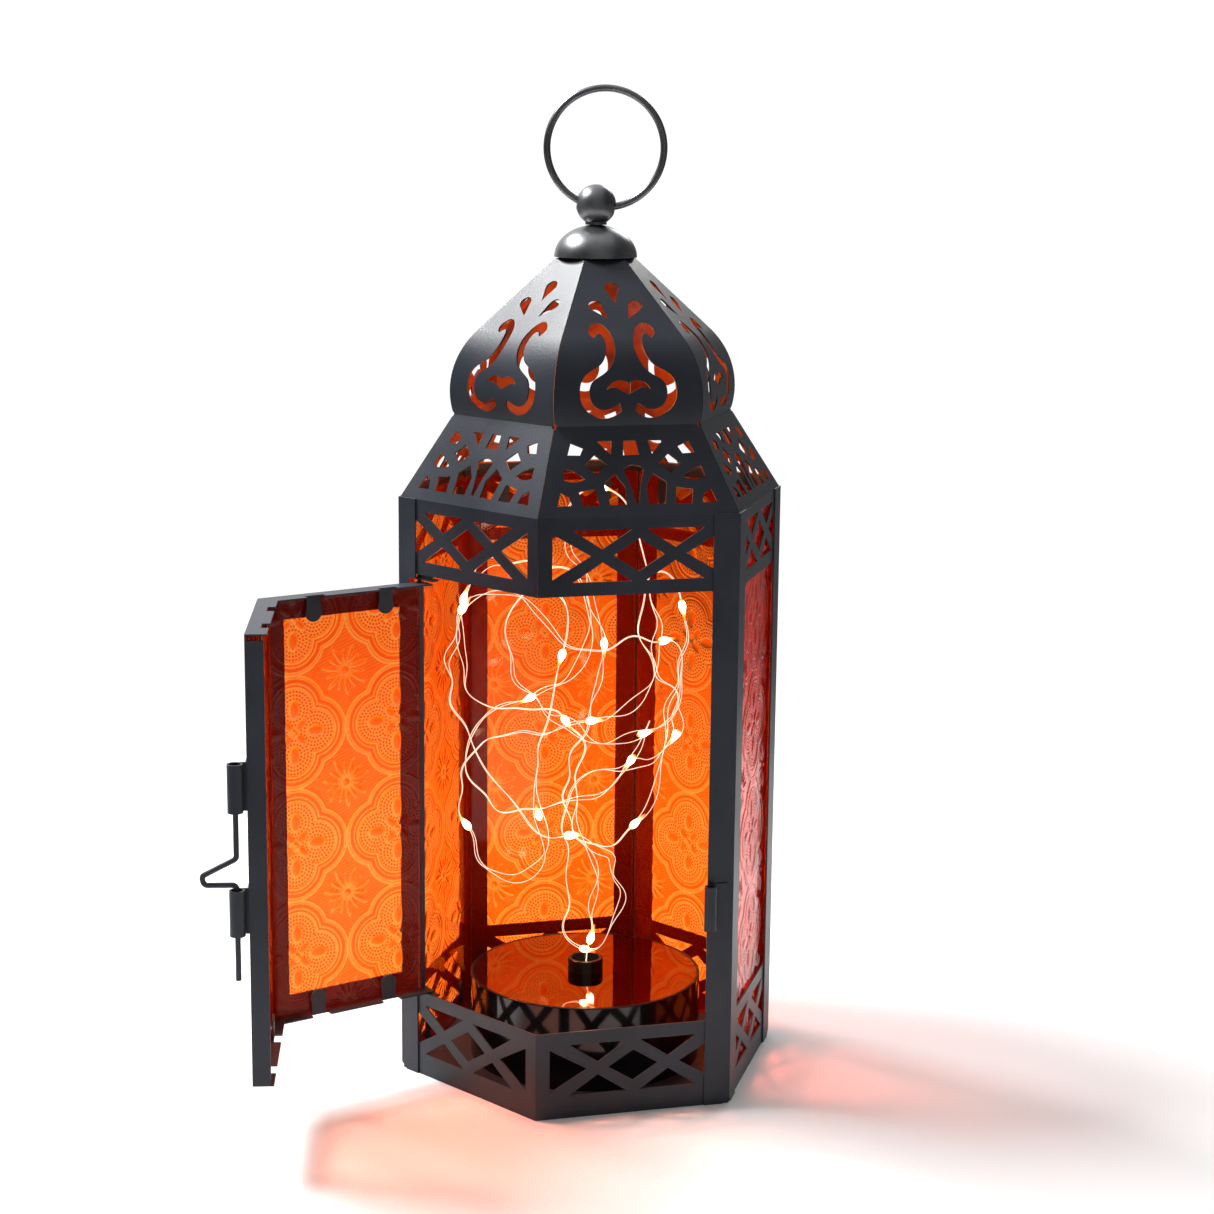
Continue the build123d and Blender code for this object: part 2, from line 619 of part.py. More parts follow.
with BuildPart() as puck_housing:
    with BuildSketch(puck_level(PUCK_Z[0])):
        Circle(PUCK_R)
        Rectangle(*BAY, mode=Mode.SUBTRACT)
        with Locations(SWITCH_AT):
            Rectangle(KNOB[0] + 0.6, KNOB[1] + SWITCH_TRAVEL + 0.6, mode=Mode.SUBTRACT)
        with PolarLocations(SCREW_RING, 3, 90):
            Circle(SCREW_R + 0.05, mode=Mode.SUBTRACT)
    extrude(amount=PUCK_WALL)
    with BuildSketch(puck_level(FLOOR_TOP)):
        Circle(PUCK_R)
        Circle(PUCK_R - PUCK_WALL, mode=Mode.SUBTRACT)
    extrude(amount=LID_Z - FLOOR_TOP)
    with BuildSketch(puck_level(FLOOR_TOP)):
        with PolarLocations(SCREW_RING, 3, 90):
            Circle(BOSS_R)
            Circle(SCREW_R + 0.05, mode=Mode.SUBTRACT)
        with Locations((0, BAY[1] / 2 + 0.6), (0, -BAY[1] / 2 - 0.6)):
            Rectangle(BAY[0], 1.2)
    extrude(amount=BOSS_SPLIT - FLOOR_TOP - 0.1)
    with BuildSketch(puck_level(PUCK_Z[0])):
        with PolarLocations(SCREW_RING, 3, 90):
            Circle(SCREW_HEAD_R + 0.15)
    extrude(amount=1.0, mode=Mode.SUBTRACT)
save(puck_housing, "puck_housing")

with BuildPart() as puck_lid:
    with BuildSketch(puck_level(LID_Z)):
        Circle(PUCK_R)
        Circle(COLLAR_R + 0.05, mode=Mode.SUBTRACT)
    extrude(amount=PUCK_Z[1] - LID_Z)
    fillet(puck_lid.edges().filter_by(GeomType.CIRCLE).group_by(Axis.Z)[-1].sort_by(SortBy.LENGTH)[-1], 0.4)
    with BuildSketch(puck_level(MIRROR_Z)):
        Circle(MIRROR_R)
    extrude(amount=PUCK_Z[1] - MIRROR_Z, mode=Mode.SUBTRACT)
    with BuildSketch(puck_level(BOSS_SPLIT)):
        with PolarLocations(SCREW_RING, 3, 90):
            Circle(BOSS_R)
    extrude(amount=LID_Z - BOSS_SPLIT)
    with BuildSketch(puck_level(BOSS_SPLIT)):
        with PolarLocations(SCREW_RING, 3, 90):
            Circle(SCREW_R)
    extrude(amount=10, mode=Mode.SUBTRACT)
save(puck_lid, "puck_lid")

with BuildPart() as mirror_disc:
    with BuildSketch(puck_level(MIRROR_Z)):
        Circle(MIRROR_R - 0.05)
        Circle(COLLAR_R + 0.05, mode=Mode.SUBTRACT)
    extrude(amount=0.6)
save(mirror_disc, "mirror_disc")

with BuildPart() as wire_collar:
    with BuildSketch(puck_level(LID_Z - 1.2)):
        Circle(COLLAR_R + 1.5)
        Circle(COLLAR_BORE, mode=Mode.SUBTRACT)
    extrude(amount=1.15)
    with BuildSketch(puck_level(LID_Z - 1.2)):
        Circle(COLLAR_R)
        Circle(COLLAR_BORE, mode=Mode.SUBTRACT)
    extrude(amount=COLLAR_Z - LID_Z + 1.2)
    fillet(wire_collar.edges().filter_by(GeomType.CIRCLE).group_by(Axis.Z)[-1], 0.4)
save(wire_collar, "wire_collar")

GROMMET_Z = (29.2, 32.5)
with BuildPart() as wire_grommet:
    with BuildSketch(puck_level(GROMMET_Z[0])):
        Circle(COLLAR_BORE - 0.05)
    extrude(amount=GROMMET_Z[1] - GROMMET_Z[0])
save(wire_grommet, "wire_grommet")

with BuildPart() as battery_cover:
    with BuildSketch(puck_level(PUCK_Z[0])):
        Rectangle(BAY[0] - 0.3, BAY[1] - 0.3)
    extrude(amount=PUCK_WALL)
    with BuildSketch(puck_level(PUCK_Z[0])):
        with Locations((0, BAY[1] / 2 - 5)):
            SlotOverall(14, 4)
    extrude(amount=0.8, mode=Mode.SUBTRACT)
save(battery_cover, "battery_cover")


def cell_plane(x, heading):
    """A cell's negative end: Z runs along the cell, towards +Y or -Y."""
    start = -heading * (CELL_LENGTH / 2 - 1.5)
    return Plane(origin=(PUCK_CENTRE[0] + x, PUCK_CENTRE[1] + start, CELL_Z), x_dir=(1, 0, 0),
                 z_dir=(0, heading, 0))


CELLS = ((-CELL_PITCH, 1), (0, -1), (CELL_PITCH, 1))
SPRING_GAP = 3.0
with BuildPart() as battery_cells:
    for x, heading in CELLS:
        with BuildSketch(cell_plane(x, heading)):
            Circle(CELL_R)
        extrude(amount=CELL_LENGTH - 1.4)
        with BuildSketch(cell_plane(x, heading).offset(CELL_LENGTH - 1.4)):
            Circle(2.7)
        extrude(amount=1.4)
save(battery_cells, "battery_cells")

with BuildPart() as contact_plates:
    for x, heading in CELLS:
        for along in (-SPRING_GAP - 0.35, CELL_LENGTH + 0.05):
            with BuildSketch(cell_plane(x, heading).offset(along)):
                Rectangle(10, 12)
            extrude(amount=0.3)
save(contact_plates, "contact_plates")

with BuildPart() as contact_springs:
    for x, heading in CELLS:
        foot = cell_plane(x, heading).offset(-SPRING_GAP + 0.35)
        with BuildLine() as coil:
            Helix(pitch=1.1, height=SPRING_GAP - 0.75, radius=3.0, center=foot.origin, direction=foot.z_dir)
        with BuildSketch(Plane(origin=coil.edges()[0] @ 0, z_dir=coil.edges()[0] % 0)):
            Circle(0.3)
        sweep(path=coil.edges()[0], is_frenet=True)
save(contact_springs, "contact_springs")

with BuildPart() as circuit_board:
    with BuildSketch(puck_level(6.0)):
        with Locations(BOARD_AT):
            Rectangle(11, 22)
    extrude(amount=1.2)
save(circuit_board, "circuit_board")

with BuildPart() as board_parts:
    with BuildSketch(puck_level(7.2)):
        with Locations((BOARD_AT[0], 4)):
            Rectangle(4, 5)
        with Locations((BOARD_AT[0] - 2, -4), (BOARD_AT[0] + 2, -4)):
            Rectangle(1.6, 3.2)
    extrude(amount=1.4)
save(board_parts, "board_parts")

with BuildPart() as switch_body:
    with BuildSketch(puck_level(FLOOR_TOP + 0.05)):
        with Locations(SWITCH_AT):
            Rectangle(5, 10)
    extrude(amount=4)
save(switch_body, "switch_body")

with BuildPart() as switch_knob:
    with BuildSketch(puck_level(PUCK_Z[0] + 0.15)):
        with Locations((SWITCH_AT[0], SWITCH_AT[1] - SWITCH_TRAVEL / 2)):
            RectangleRounded(*KNOB, 0.3)
    extrude(amount=PUCK_WALL - 0.15)
save(switch_knob, "switch_knob")

with BuildPart() as puck_screws:
    with BuildSketch(puck_level(PUCK_Z[0] + 0.1)):
        with PolarLocations(SCREW_RING, 3, 90):
            Circle(SCREW_HEAD_R)
    extrude(amount=0.85)
    with BuildSketch(puck_level(PUCK_Z[0] + 0.9)):
        with PolarLocations(SCREW_RING, 3, 90):
            Circle(SCREW_R)
    extrude(amount=22)
save(puck_screws, "puck_screws")

# ---------------------------------------------------------------- fairy lights
# The lead leaves the grommet and winds loosely up and down inside the case.
STRING_ROUTE = [
    (5, 1, 70), (-11, -7, 95), (-2, -6, 122), (-17, 9, 133), (-40, 13, 127), (-48, 11, 156),
    (-40, 15, 185), (-15, 19, 183), (-6, 4, 162), (-16, -10, 141), (-25, -8, 108), (-16, -6, 80),
    (-27, 5, 63), (-41, 9, 75), (-49, 7, 100), (-41, 3, 123), (-22, -13, 126), (15, -12, 132),
    (26, -3, 156), (20, 5, 184), (13, 5, 210), (-5, -1, 214), (-14, -7, 198), (-2, -14, 174),
    (-1, -22, 143), (-16, -16, 111), (-10, -14, 85), (7, -12, 81), (20, -14, 99), (27, -5, 130),
    (34, -9, 157), (28, -10, 182), (14, -14, 183), (12, -20, 155), (31, -19, 135), (25, -3, 109),
    (7, 13, 106), (-10, 11, 94), (-4, 14, 62), (-10, 1, 42), (0, -16, 42), (9, -17, 63),
    (-3, -28, 90), (-25, -18, 89), (-40, -8, 112), (-52, 4, 134), (-53, -2, 159), (-42, -3, 181),
    (-24, -18, 172), (-13, -32, 155), (9, -30, 165), (29, -26, 157), (23, -29, 132), (-2, -35, 124),
    (-24, -31, 137), (-38, -17, 154), (-27, 1, 179), (-5, 8, 185), (7, 15, 153), (-6, 24, 133),
    (-28, 28, 129), (-46, 25, 108), (-29, 22, 85), (-5, 26, 90), (17, 22, 90), (27, 17, 121),
]
LED_RUNS = (0, 3, 6, 9, 11, 14, 17, 21, 24, 28, 31, 35, 40, 43, 47, 51, 53, 57, 60, 65)

route = [Vector(*PUCK_CENTRE, GROMMET_Z[1] + 0.1)] + [Vector(*point) for point in STRING_ROUTE]
bends = []
for before, here, after in zip(route, route[1:], route[2:]):
    half_turn = radians((here - before).get_angle(after - here) / 2)
    bends.append(0.45 * min((here - before).length, (after - here).length) / tan(half_turn))

with BuildPart() as light_string_wire:
    with BuildLine():
        lead = FilletPolyline(*route, radius=bends)
    with BuildSketch(Plane(origin=lead @ 0, z_dir=lead % 0)):
        Circle(STRING_R)
    sweep()
save(light_string_wire, "light_string_wire")
print("lead length", round(lead.length, 1), "tightest bend", round(min(bends), 1))
print("lead volume over section times length",
      round(light_string_wire.part.volume / (pi * STRING_R ** 2 * lead.length), 4))

with BuildPart() as led_beads:
    for run in LED_RUNS:
        along = route[run + 1] - route[run]
        middle = (route[run] + route[run + 1]) / 2
        with BuildSketch(Plane(origin=middle, z_dir=along)):
            Circle(LED_R)
        extrude(amount=LED_LENGTH / 2, both=True)
    fillet(led_beads.edges(), LED_R * 0.9)
save(led_beads, "led_beads")
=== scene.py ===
import json
import math
import bpy
import numpy as np
from mathutils import Matrix, Vector


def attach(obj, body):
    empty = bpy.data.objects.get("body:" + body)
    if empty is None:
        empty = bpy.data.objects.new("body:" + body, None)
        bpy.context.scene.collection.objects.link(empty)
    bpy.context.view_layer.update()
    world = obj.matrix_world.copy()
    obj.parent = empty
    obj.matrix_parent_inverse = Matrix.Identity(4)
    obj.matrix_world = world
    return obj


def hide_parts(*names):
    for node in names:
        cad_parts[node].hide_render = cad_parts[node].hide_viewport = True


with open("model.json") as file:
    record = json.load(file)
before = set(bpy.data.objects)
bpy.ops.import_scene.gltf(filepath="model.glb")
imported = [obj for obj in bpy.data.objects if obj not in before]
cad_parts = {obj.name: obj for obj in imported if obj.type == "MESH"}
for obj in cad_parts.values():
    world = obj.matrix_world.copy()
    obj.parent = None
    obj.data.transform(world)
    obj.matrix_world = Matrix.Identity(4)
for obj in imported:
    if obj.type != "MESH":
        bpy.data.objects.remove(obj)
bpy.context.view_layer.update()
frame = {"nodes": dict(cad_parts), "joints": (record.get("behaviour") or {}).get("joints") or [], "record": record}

NODES = frame["nodes"]
MM = 0.001
TURN = 2 * math.pi
WHITE = (1.0, 1.0, 1.0)


def new_object(name, data):
    """An object in the scene, made around its data."""
    made = bpy.data.objects.new(name, data)
    bpy.context.scene.collection.objects.link(made)
    return made


# ---------------------------------------------------------------- camera
CAMERA_AT = Vector((-0.2202, -0.8313, 0.3340))
CAMERA_HEADING = Vector((0.2619, 0.9651, 0.0))
CAMERA_PITCH = math.radians(10.879)
CAMERA_ROLL = math.radians(0.566)
CAMERA_LENS = 71.95
CAMERA_SENSOR = 36.0


def make_camera():
    """The photograph's view: a heading, a tilt down and a slight roll."""
    forward = CAMERA_HEADING * math.cos(CAMERA_PITCH) - Vector((0, 0, math.sin(CAMERA_PITCH)))
    level = Vector((CAMERA_HEADING.y, -CAMERA_HEADING.x, 0.0))
    up = level.cross(forward)
    right = level * math.cos(CAMERA_ROLL) + up * math.sin(CAMERA_ROLL)
    top = up * math.cos(CAMERA_ROLL) - level * math.sin(CAMERA_ROLL)
    data = bpy.data.cameras.new("camera")
    data.lens = CAMERA_LENS
    data.sensor_width = CAMERA_SENSOR
    data.dof.use_dof = False
    camera = new_object("camera", data)
    axes = Matrix((right, top, -forward)).transposed().to_4x4()
    camera.matrix_world = Matrix.Translation(CAMERA_AT) @ axes
    bpy.context.scene.camera = camera


make_camera()

# ---------------------------------------------------------------- node graphs
NOISE_MIDDLE = (0.3, 0.7)


class Graph:
    """The node tree of a material or a world. A value is a number, a colour without its alpha or the
    output of another node, and most methods give the output of the node that they add."""

    def __init__(self, owner, output="ShaderNodeOutputMaterial"):
        owner.use_nodes = True
        self.owner = owner
        self.nodes, self.links = owner.node_tree.nodes, owner.node_tree.links
        self.nodes.clear()
        self.coords = self.nodes.new("ShaderNodeTexCoord")
        self.output = self.nodes.new(output)

    def feed(self, node, values):
        """Sets or links a node's inputs, by name or by number."""
        for key, value in values.items():
            socket = node.inputs[key]
            if isinstance(value, bpy.types.NodeSocket):
                self.links.new(value, socket)
            elif socket.type == "RGBA":
                socket.default_value = (*value, 1.0)
            else:
                socket.default_value = value

    def add(self, kind, values, operation=None):
        """A node of a kind with its inputs fed. Gives the node."""
        node = self.nodes.new(kind)
        if operation:
            node.operation = operation
        self.feed(node, values)
        return node

    def finish(self, shader):
        """Makes a shader the surface of the material or the world."""
        self.feed(self.output, {"Surface": shader})

    def calc(self, operation, *values):
        """A maths node over its values."""
        return self.add("ShaderNodeMath", dict(enumerate(values)), operation).outputs["Value"]

    def vector(self, operation, *values):
        """The outputs of a vector maths node."""
        return self.add("ShaderNodeVectorMath", dict(enumerate(values)), operation).outputs

    def split(self, vector):
        """The three parts of a vector."""
        return self.add("ShaderNodeSeparateXYZ", {"Vector": vector}).outputs

    def noise(self, scale, detail, stretch=None):
        """Noise over object coordinates, in cells per metre. stretch squeezes it along each axis."""
        source = self.coords.outputs["Object"]
        if stretch:
            mapping = self.add("ShaderNodeMapping", {"Scale": stretch, "Vector": source})
            source = mapping.outputs["Vector"]
        values = {"Scale": scale, "Detail": detail, "Vector": source}
        return self.add("ShaderNodeTexNoise", values).outputs["Fac"]

    def ramp(self, factor, *stops):
        """A colour ramp over a factor; each stop is (position, colour)."""
        node = self.add("ShaderNodeValToRGB", {"Fac": factor})
        elements = node.color_ramp.elements
        while len(elements) < len(stops):
            elements.new(0.5)
        for element, (at, colour) in zip(elements, stops):
            element.position = at
            element.color = (*colour, 1.0)
        return node.outputs["Color"]

    def fit(self, value, start, end, low, high, smooth=False):
        """Maps start..end onto low..high and holds the value beyond them."""
        node = self.nodes.new("ShaderNodeMapRange")
        if smooth:
            node.interpolation_type = "SMOOTHSTEP"
        self.feed(node, {"From Min": start, "From Max": end, "To Min": low, "To Max": high,
                         "Value": value})
        return node.outputs["Result"]

    def spread(self, factor, low, high):
        """Maps a noise's middle range onto low..high."""
        return self.fit(factor, *NOISE_MIDDLE, low, high)

    def bump(self, height, strength, distance):
        """The normal of a surface with a height put on it."""
        values = {"Height": height, "Strength": strength, "Distance": distance}
        return self.add("ShaderNodeBump", values).outputs["Normal"]

    def attribute(self, name):
        """The outputs that read an attribute of the mesh."""
        node = self.nodes.new("ShaderNodeAttribute")
        node.attribute_name = name
        return node.outputs

    def mix(self, share, first, second):
        """Two shaders blended; share is that of the second."""
        values = {"Fac": share, 1: first, 2: second}
        return self.add("ShaderNodeMixShader", values).outputs["Shader"]

    def ray(self, kind):
        """1 for rays of a kind."""
        return self.nodes.new("ShaderNodeLightPath").outputs[kind]


BLOTCH_DETAIL = 4.0
BLOTCH_STOPS = (0.35, 0.68)
GRAIN_DETAIL = 2.0
GRAIN_STRENGTH = 0.5
COAT_ROUGHNESS = 0.08


def grained(name, dark, light, roughness, metallic=0.0, grain=900.0, depth=0.00004, blotch=35.0,
            stretch=None, coat=0.0, specular=0.5):
    """A sprayed, moulded or brushed surface: two close tones in soft blotches, uneven gloss and fine
    grain. grain and blotch are in cells per metre, depth in metres. Gives the material's graph, with
    its principled shader as surface."""
    graph = Graph(bpy.data.materials.new(name))
    tone = graph.noise(blotch, BLOTCH_DETAIL)
    fine = graph.noise(grain, GRAIN_DETAIL, stretch)
    graph.surface = graph.add("ShaderNodeBsdfPrincipled", {
        "Base Color": graph.ramp(tone, *zip(BLOTCH_STOPS, (dark, light))),
        "Roughness": graph.spread(tone, *roughness),
        "Normal": graph.bump(fine, GRAIN_STRENGTH, depth),
        "Metallic": metallic,
        "Coat Weight": coat,
        "Coat Roughness": COAT_ROUGHNESS,
        "Specular IOR Level": specular,
    })
    graph.finish(graph.surface.outputs["BSDF"])
    return graph


# ---------------------------------------------------------------- fairy lights: lead and beads
LEAD_ROUTE = [
    (-0.0015, 0.0004, 0.0326),
    (0.005, 0.001, 0.070), (-0.011, -0.007, 0.095), (-0.002, -0.006, 0.122), (-0.017, 0.009, 0.133),
    (-0.040, 0.013, 0.127), (-0.048, 0.011, 0.156), (-0.040, 0.015, 0.185), (-0.015, 0.019, 0.183),
    (-0.006, 0.004, 0.162), (-0.016, -0.010, 0.141), (-0.025, -0.008, 0.108), (-0.016, -0.006, 0.080),
    (-0.027, 0.005, 0.063), (-0.041, 0.009, 0.075), (-0.049, 0.007, 0.100), (-0.041, 0.003, 0.123),
    (-0.022, -0.013, 0.126), (0.015, -0.012, 0.132), (0.026, -0.003, 0.156), (0.020, 0.005, 0.184),
    (0.013, 0.005, 0.210), (-0.005, -0.001, 0.214), (-0.014, -0.007, 0.198), (-0.002, -0.014, 0.174),
    (-0.001, -0.022, 0.143), (-0.016, -0.016, 0.111), (-0.010, -0.014, 0.085), (0.007, -0.012, 0.081),
    (0.020, -0.014, 0.099), (0.027, -0.005, 0.130), (0.034, -0.009, 0.157), (0.028, -0.010, 0.182),
    (0.014, -0.014, 0.183), (0.012, -0.020, 0.155), (0.031, -0.019, 0.135), (0.025, -0.003, 0.109),
    (0.007, 0.013, 0.106), (-0.010, 0.011, 0.094), (-0.004, 0.014, 0.062), (-0.010, 0.001, 0.042),
    (-0.000, -0.016, 0.042), (0.009, -0.017, 0.063), (-0.003, -0.028, 0.090), (-0.025, -0.018, 0.089),
    (-0.040, -0.008, 0.112), (-0.052, 0.004, 0.134), (-0.053, -0.002, 0.159), (-0.042, -0.003, 0.181),
    (-0.024, -0.018, 0.172), (-0.013, -0.032, 0.155), (0.009, -0.030, 0.165), (0.029, -0.026, 0.157),
    (0.023, -0.029, 0.132), (-0.002, -0.035, 0.124), (-0.024, -0.031, 0.137), (-0.038, -0.017, 0.154),
    (-0.027, 0.001, 0.179), (-0.005, 0.008, 0.185), (0.007, 0.015, 0.153), (-0.006, 0.024, 0.133),
    (-0.028, 0.028, 0.129), (-0.046, 0.025, 0.108), (-0.029, 0.022, 0.085), (-0.005, 0.026, 0.090),
    (0.017, 0.022, 0.090), (0.027, 0.017, 0.121),
]
LEAD_STEP = 0.0012
ROUTE_RESOLUTION = 24
ROUTE_ORDER = 3
FIRST_SIDE = (0.0, 1.0, 0.2)
# Small waves of the lead: their height, the length at each end over which they fade in, and for the two
# directions a share, a wave length, and how far, how slowly and from where that wave length drifts.
KINK = 0.0011
KINK_FADE = 0.02
KINK_WAVES = ((1.0, 0.023, 1.7, 0.097, 0.0), (0.8, 0.031, 2.1, 0.071, 1.0))
# The two strands: turns round each other and their unevenness, the gap at its least, the gap it adds
# where they part, the waves of that parting, and how quickly they come together at the ends.
STRAND_R = 0.00014
STRAND_SIDES = 6
STRAND_TURNS = 21
STRAND_SWAY, STRAND_SWAYS = 2.1, 7.3
STRAND_GAP = 0.00018
STRAND_PARTING = 0.0021
PARTINGS, PARTING_BREAKS, BREAK_START = 11.3, 26.7, 1.3
STRAND_ENDS = 60
# Beads: the runs of the route that carry one, how far up the lead the first one sits, rings along the
# drop as (along in mm, radius in mm, glow), and how flat the flattest drop is and the steps from it.
LED_RUNS = (0, 3, 6, 9, 11, 14, 17, 21, 24, 28, 31, 35, 40, 43, 47, 51, 53, 57, 60, 65)
FIRST_LED = 0.011
LED_PROFILE = ((-2.6, 0.26, 0.1), (-2.2, 0.62, 0.3), (-1.5, 1.10, 0.8), (-0.5, 1.42, 1.0),
               (0.6, 1.34, 1.0), (1.8, 0.98, 0.75), (3.2, 0.62, 0.35), (4.6, 0.38, 0.12),
               (5.4, 0.24, 0.0))
LED_SIDES = 14
LED_FLATNESS, LED_FLATNESS_STEP = 0.82, 0.05
# Tones: of the lead and its painted glow from its beads, then of the beads' resin by warmth, how much
# its clouds (scale, detail) add to that, and its light at full glow and without it.
LEAD_TONES = ((0.86, 0.56, 0.44), (0.98, 0.80, 0.70))
LEAD_PAINTED_GLOW = ((1.0, 0.78, 0.62), 0.85)
LED_TONES = ((0.15, (0.62, 0.10, 0.008)), (0.55, (1.0, 0.40, 0.09)), (1.0, (1.0, 0.86, 0.60)))
LED_CLOUDS, CLOUD_WARMTH = (700.0, 2.0), 0.3
LED_LIGHT, LED_LEAST_LIGHT = 9.0, 1.1
LED_GLOSS = (0.08, 0.22)


def spline_points(route):
    """Points of the lead's own smooth line, read from a NURBS spline through its route."""
    curve = bpy.data.curves.new("lead_route", "CURVE")
    curve.dimensions = "3D"
    curve.resolution_u = ROUTE_RESOLUTION
    spline = curve.splines.new("NURBS")
    spline.points.add(len(route) - 1)
    for point, at in zip(spline.points, route):
        point.co = (*at, 1.0)
    spline.order_u = ROUTE_ORDER
    spline.use_endpoint_u = True
    holder = new_object("lead_route", curve)
    bpy.context.view_layer.update()
    mesh = bpy.data.meshes.new_from_object(holder)
    points = np.array([v.co for v in mesh.vertices], float)
    bpy.data.objects.remove(holder)
    bpy.data.meshes.remove(mesh)
    return points


def evenly(points, step):
    """The same line with points a step apart."""
    gaps = np.linalg.norm(np.diff(points, axis=0), axis=1)
    lengths = np.concatenate([[0.0], np.cumsum(gaps)])
    wanted = np.linspace(0.0, lengths[-1], int(lengths[-1] / step) + 1)
    return np.stack([np.interp(wanted, lengths, points[:, k]) for k in range(3)], axis=1)


def carried_frames(points):
    """Tangents, sides and the directions across both; the sides turn as little as they can."""
    tangents = np.gradient(points, axis=0)
    tangents /= np.linalg.norm(tangents, axis=1)[:, None]
    sides = np.zeros_like(points)
    side = np.cross(tangents[0], FIRST_SIDE)
    for i, tangent in enumerate(tangents):
        side = side - tangent * np.dot(side, tangent)
        side /= np.linalg.norm(side)
        sides[i] = side
    return tangents, sides, np.cross(tangents, sides)


def kinked(points):
    """The same line with the small waves that a fine lead keeps from its reel."""
    _, sides, across = carried_frames(points)
    run = np.arange(len(points)) * LEAD_STEP
    waves = [share * np.sin(TURN * run / length + drift * np.sin(TURN * run / slow) + start)
             for share, length, drift, slow, start in KINK_WAVES]
    fade = np.clip(np.minimum(run, run[-1] - run) / KINK_FADE, 0.0, 1.0)
    return points + KINK * fade[:, None] * (waves[0][:, None] * sides + waves[1][:, None] * across)


def tube_points(points, radius, sides):
    """Vertices of a round tube along points, ring after ring."""
    _, along, across = carried_frames(points)
    angles = np.arange(sides) * TURN / sides
    rings = (points[:, None] + radius * (np.cos(angles)[None, :, None] * along[:, None]
                                         + np.sin(angles)[None, :, None] * across[:, None]))
    return list(rings.reshape(-1, 3))


def ring_faces(first, rings, sides):
    """Faces of a closed skin over rings of vertices, the first of them at vertex number first."""
    faces = []
    last = first + (rings - 1) * sides
    for ring in range(first, last, sides):
        for k in range(sides):
            n = (k + 1) % sides
            faces.append((ring + k, ring + n, ring + sides + n, ring + sides + k))
    return faces + [tuple(range(first, first + sides))[::-1], tuple(range(last, last + sides))]


def new_piece(name, verts, faces, body, mat, replaced):
    """A smooth piece of one material that rides on a body in the place of a CAD node."""
    mesh = bpy.data.meshes.new(name)
    mesh.from_pydata([tuple(v) for v in verts], [], faces)
    mesh.update()
    mesh.shade_smooth()
    mesh.materials.append(mat)
    piece = new_object(name, mesh)
    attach(piece, body)
    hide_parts(replaced)
    return piece


def store(mesh, name, kind, field, values):
    """Keeps values at the mesh's vertices for its material to read."""
    flat = np.asarray(values, np.float32).reshape(-1)
    mesh.attributes.new(name, kind, "POINT").data.foreach_set(field, flat)


def lead_material():
    """Warm clear plastic over fine copper wire, with a faint painted glow for the light of its own beads."""
    graph = grained("lead_wire", *LEAD_TONES, (0.22, 0.42), metallic=0.25, grain=2500.0,
                    depth=0.00002, blotch=120.0)
    colour, strength = LEAD_PAINTED_GLOW
    graph.feed(graph.surface, {"Emission Color": colour, "Emission Strength": strength})
    return graph.owner


def led_material():
    """Warm bead: white hot at the chip, orange in the resin towards its ends."""
    graph = Graph(bpy.data.materials.new("led_resin"))
    cloud = graph.noise(*LED_CLOUDS)
    chip = graph.attribute("bead_glow")["Fac"]
    glow = graph.ramp(graph.calc("MULTIPLY_ADD", cloud, CLOUD_WARMTH, chip), *LED_TONES)
    power = graph.calc("MULTIPLY_ADD", graph.calc("POWER", chip, 2.0), LED_LIGHT, LED_LEAST_LIGHT)
    shader = graph.add("ShaderNodeBsdfPrincipled", {
        "Base Color": glow,
        "Emission Color": glow,
        "Emission Strength": power,
        "Roughness": graph.spread(cloud, *LED_GLOSS),
    })
    graph.finish(shader.outputs["BSDF"])
    return graph.owner


lead_line = kinked(evenly(spline_points(LEAD_ROUTE), LEAD_STEP))


def make_lead():
    """Two fine strands that cross over each other now and then, as a loosely paired lead does."""
    _, sides, across = carried_frames(lead_line)
    run = np.linspace(0.0, 1.0, len(lead_line))
    turn = TURN * STRAND_TURNS * run + STRAND_SWAY * np.sin(TURN * STRAND_SWAYS * run)
    parting = (0.5 + 0.5 * np.sin(TURN * PARTINGS * run)) ** 2
    parting *= np.abs(np.sin(TURN * PARTING_BREAKS * run + BREAK_START))
    apart = STRAND_GAP + STRAND_PARTING * parting
    apart *= np.clip(np.minimum(run, 1 - run) * STRAND_ENDS, 0.0, 1.0)
    offset = sides * np.cos(turn)[:, None] + across * np.sin(turn)[:, None]
    offset *= np.maximum(apart, STRAND_R)[:, None]
    verts, faces = [], []
    for sign in (-1, 1):
        faces += ring_faces(len(verts), len(lead_line), STRAND_SIDES)
        verts += tube_points(lead_line + sign * offset, STRAND_R, STRAND_SIDES)
    return new_piece("light_string", verts, faces, "case", lead_material(),
                     "light_string_wire")


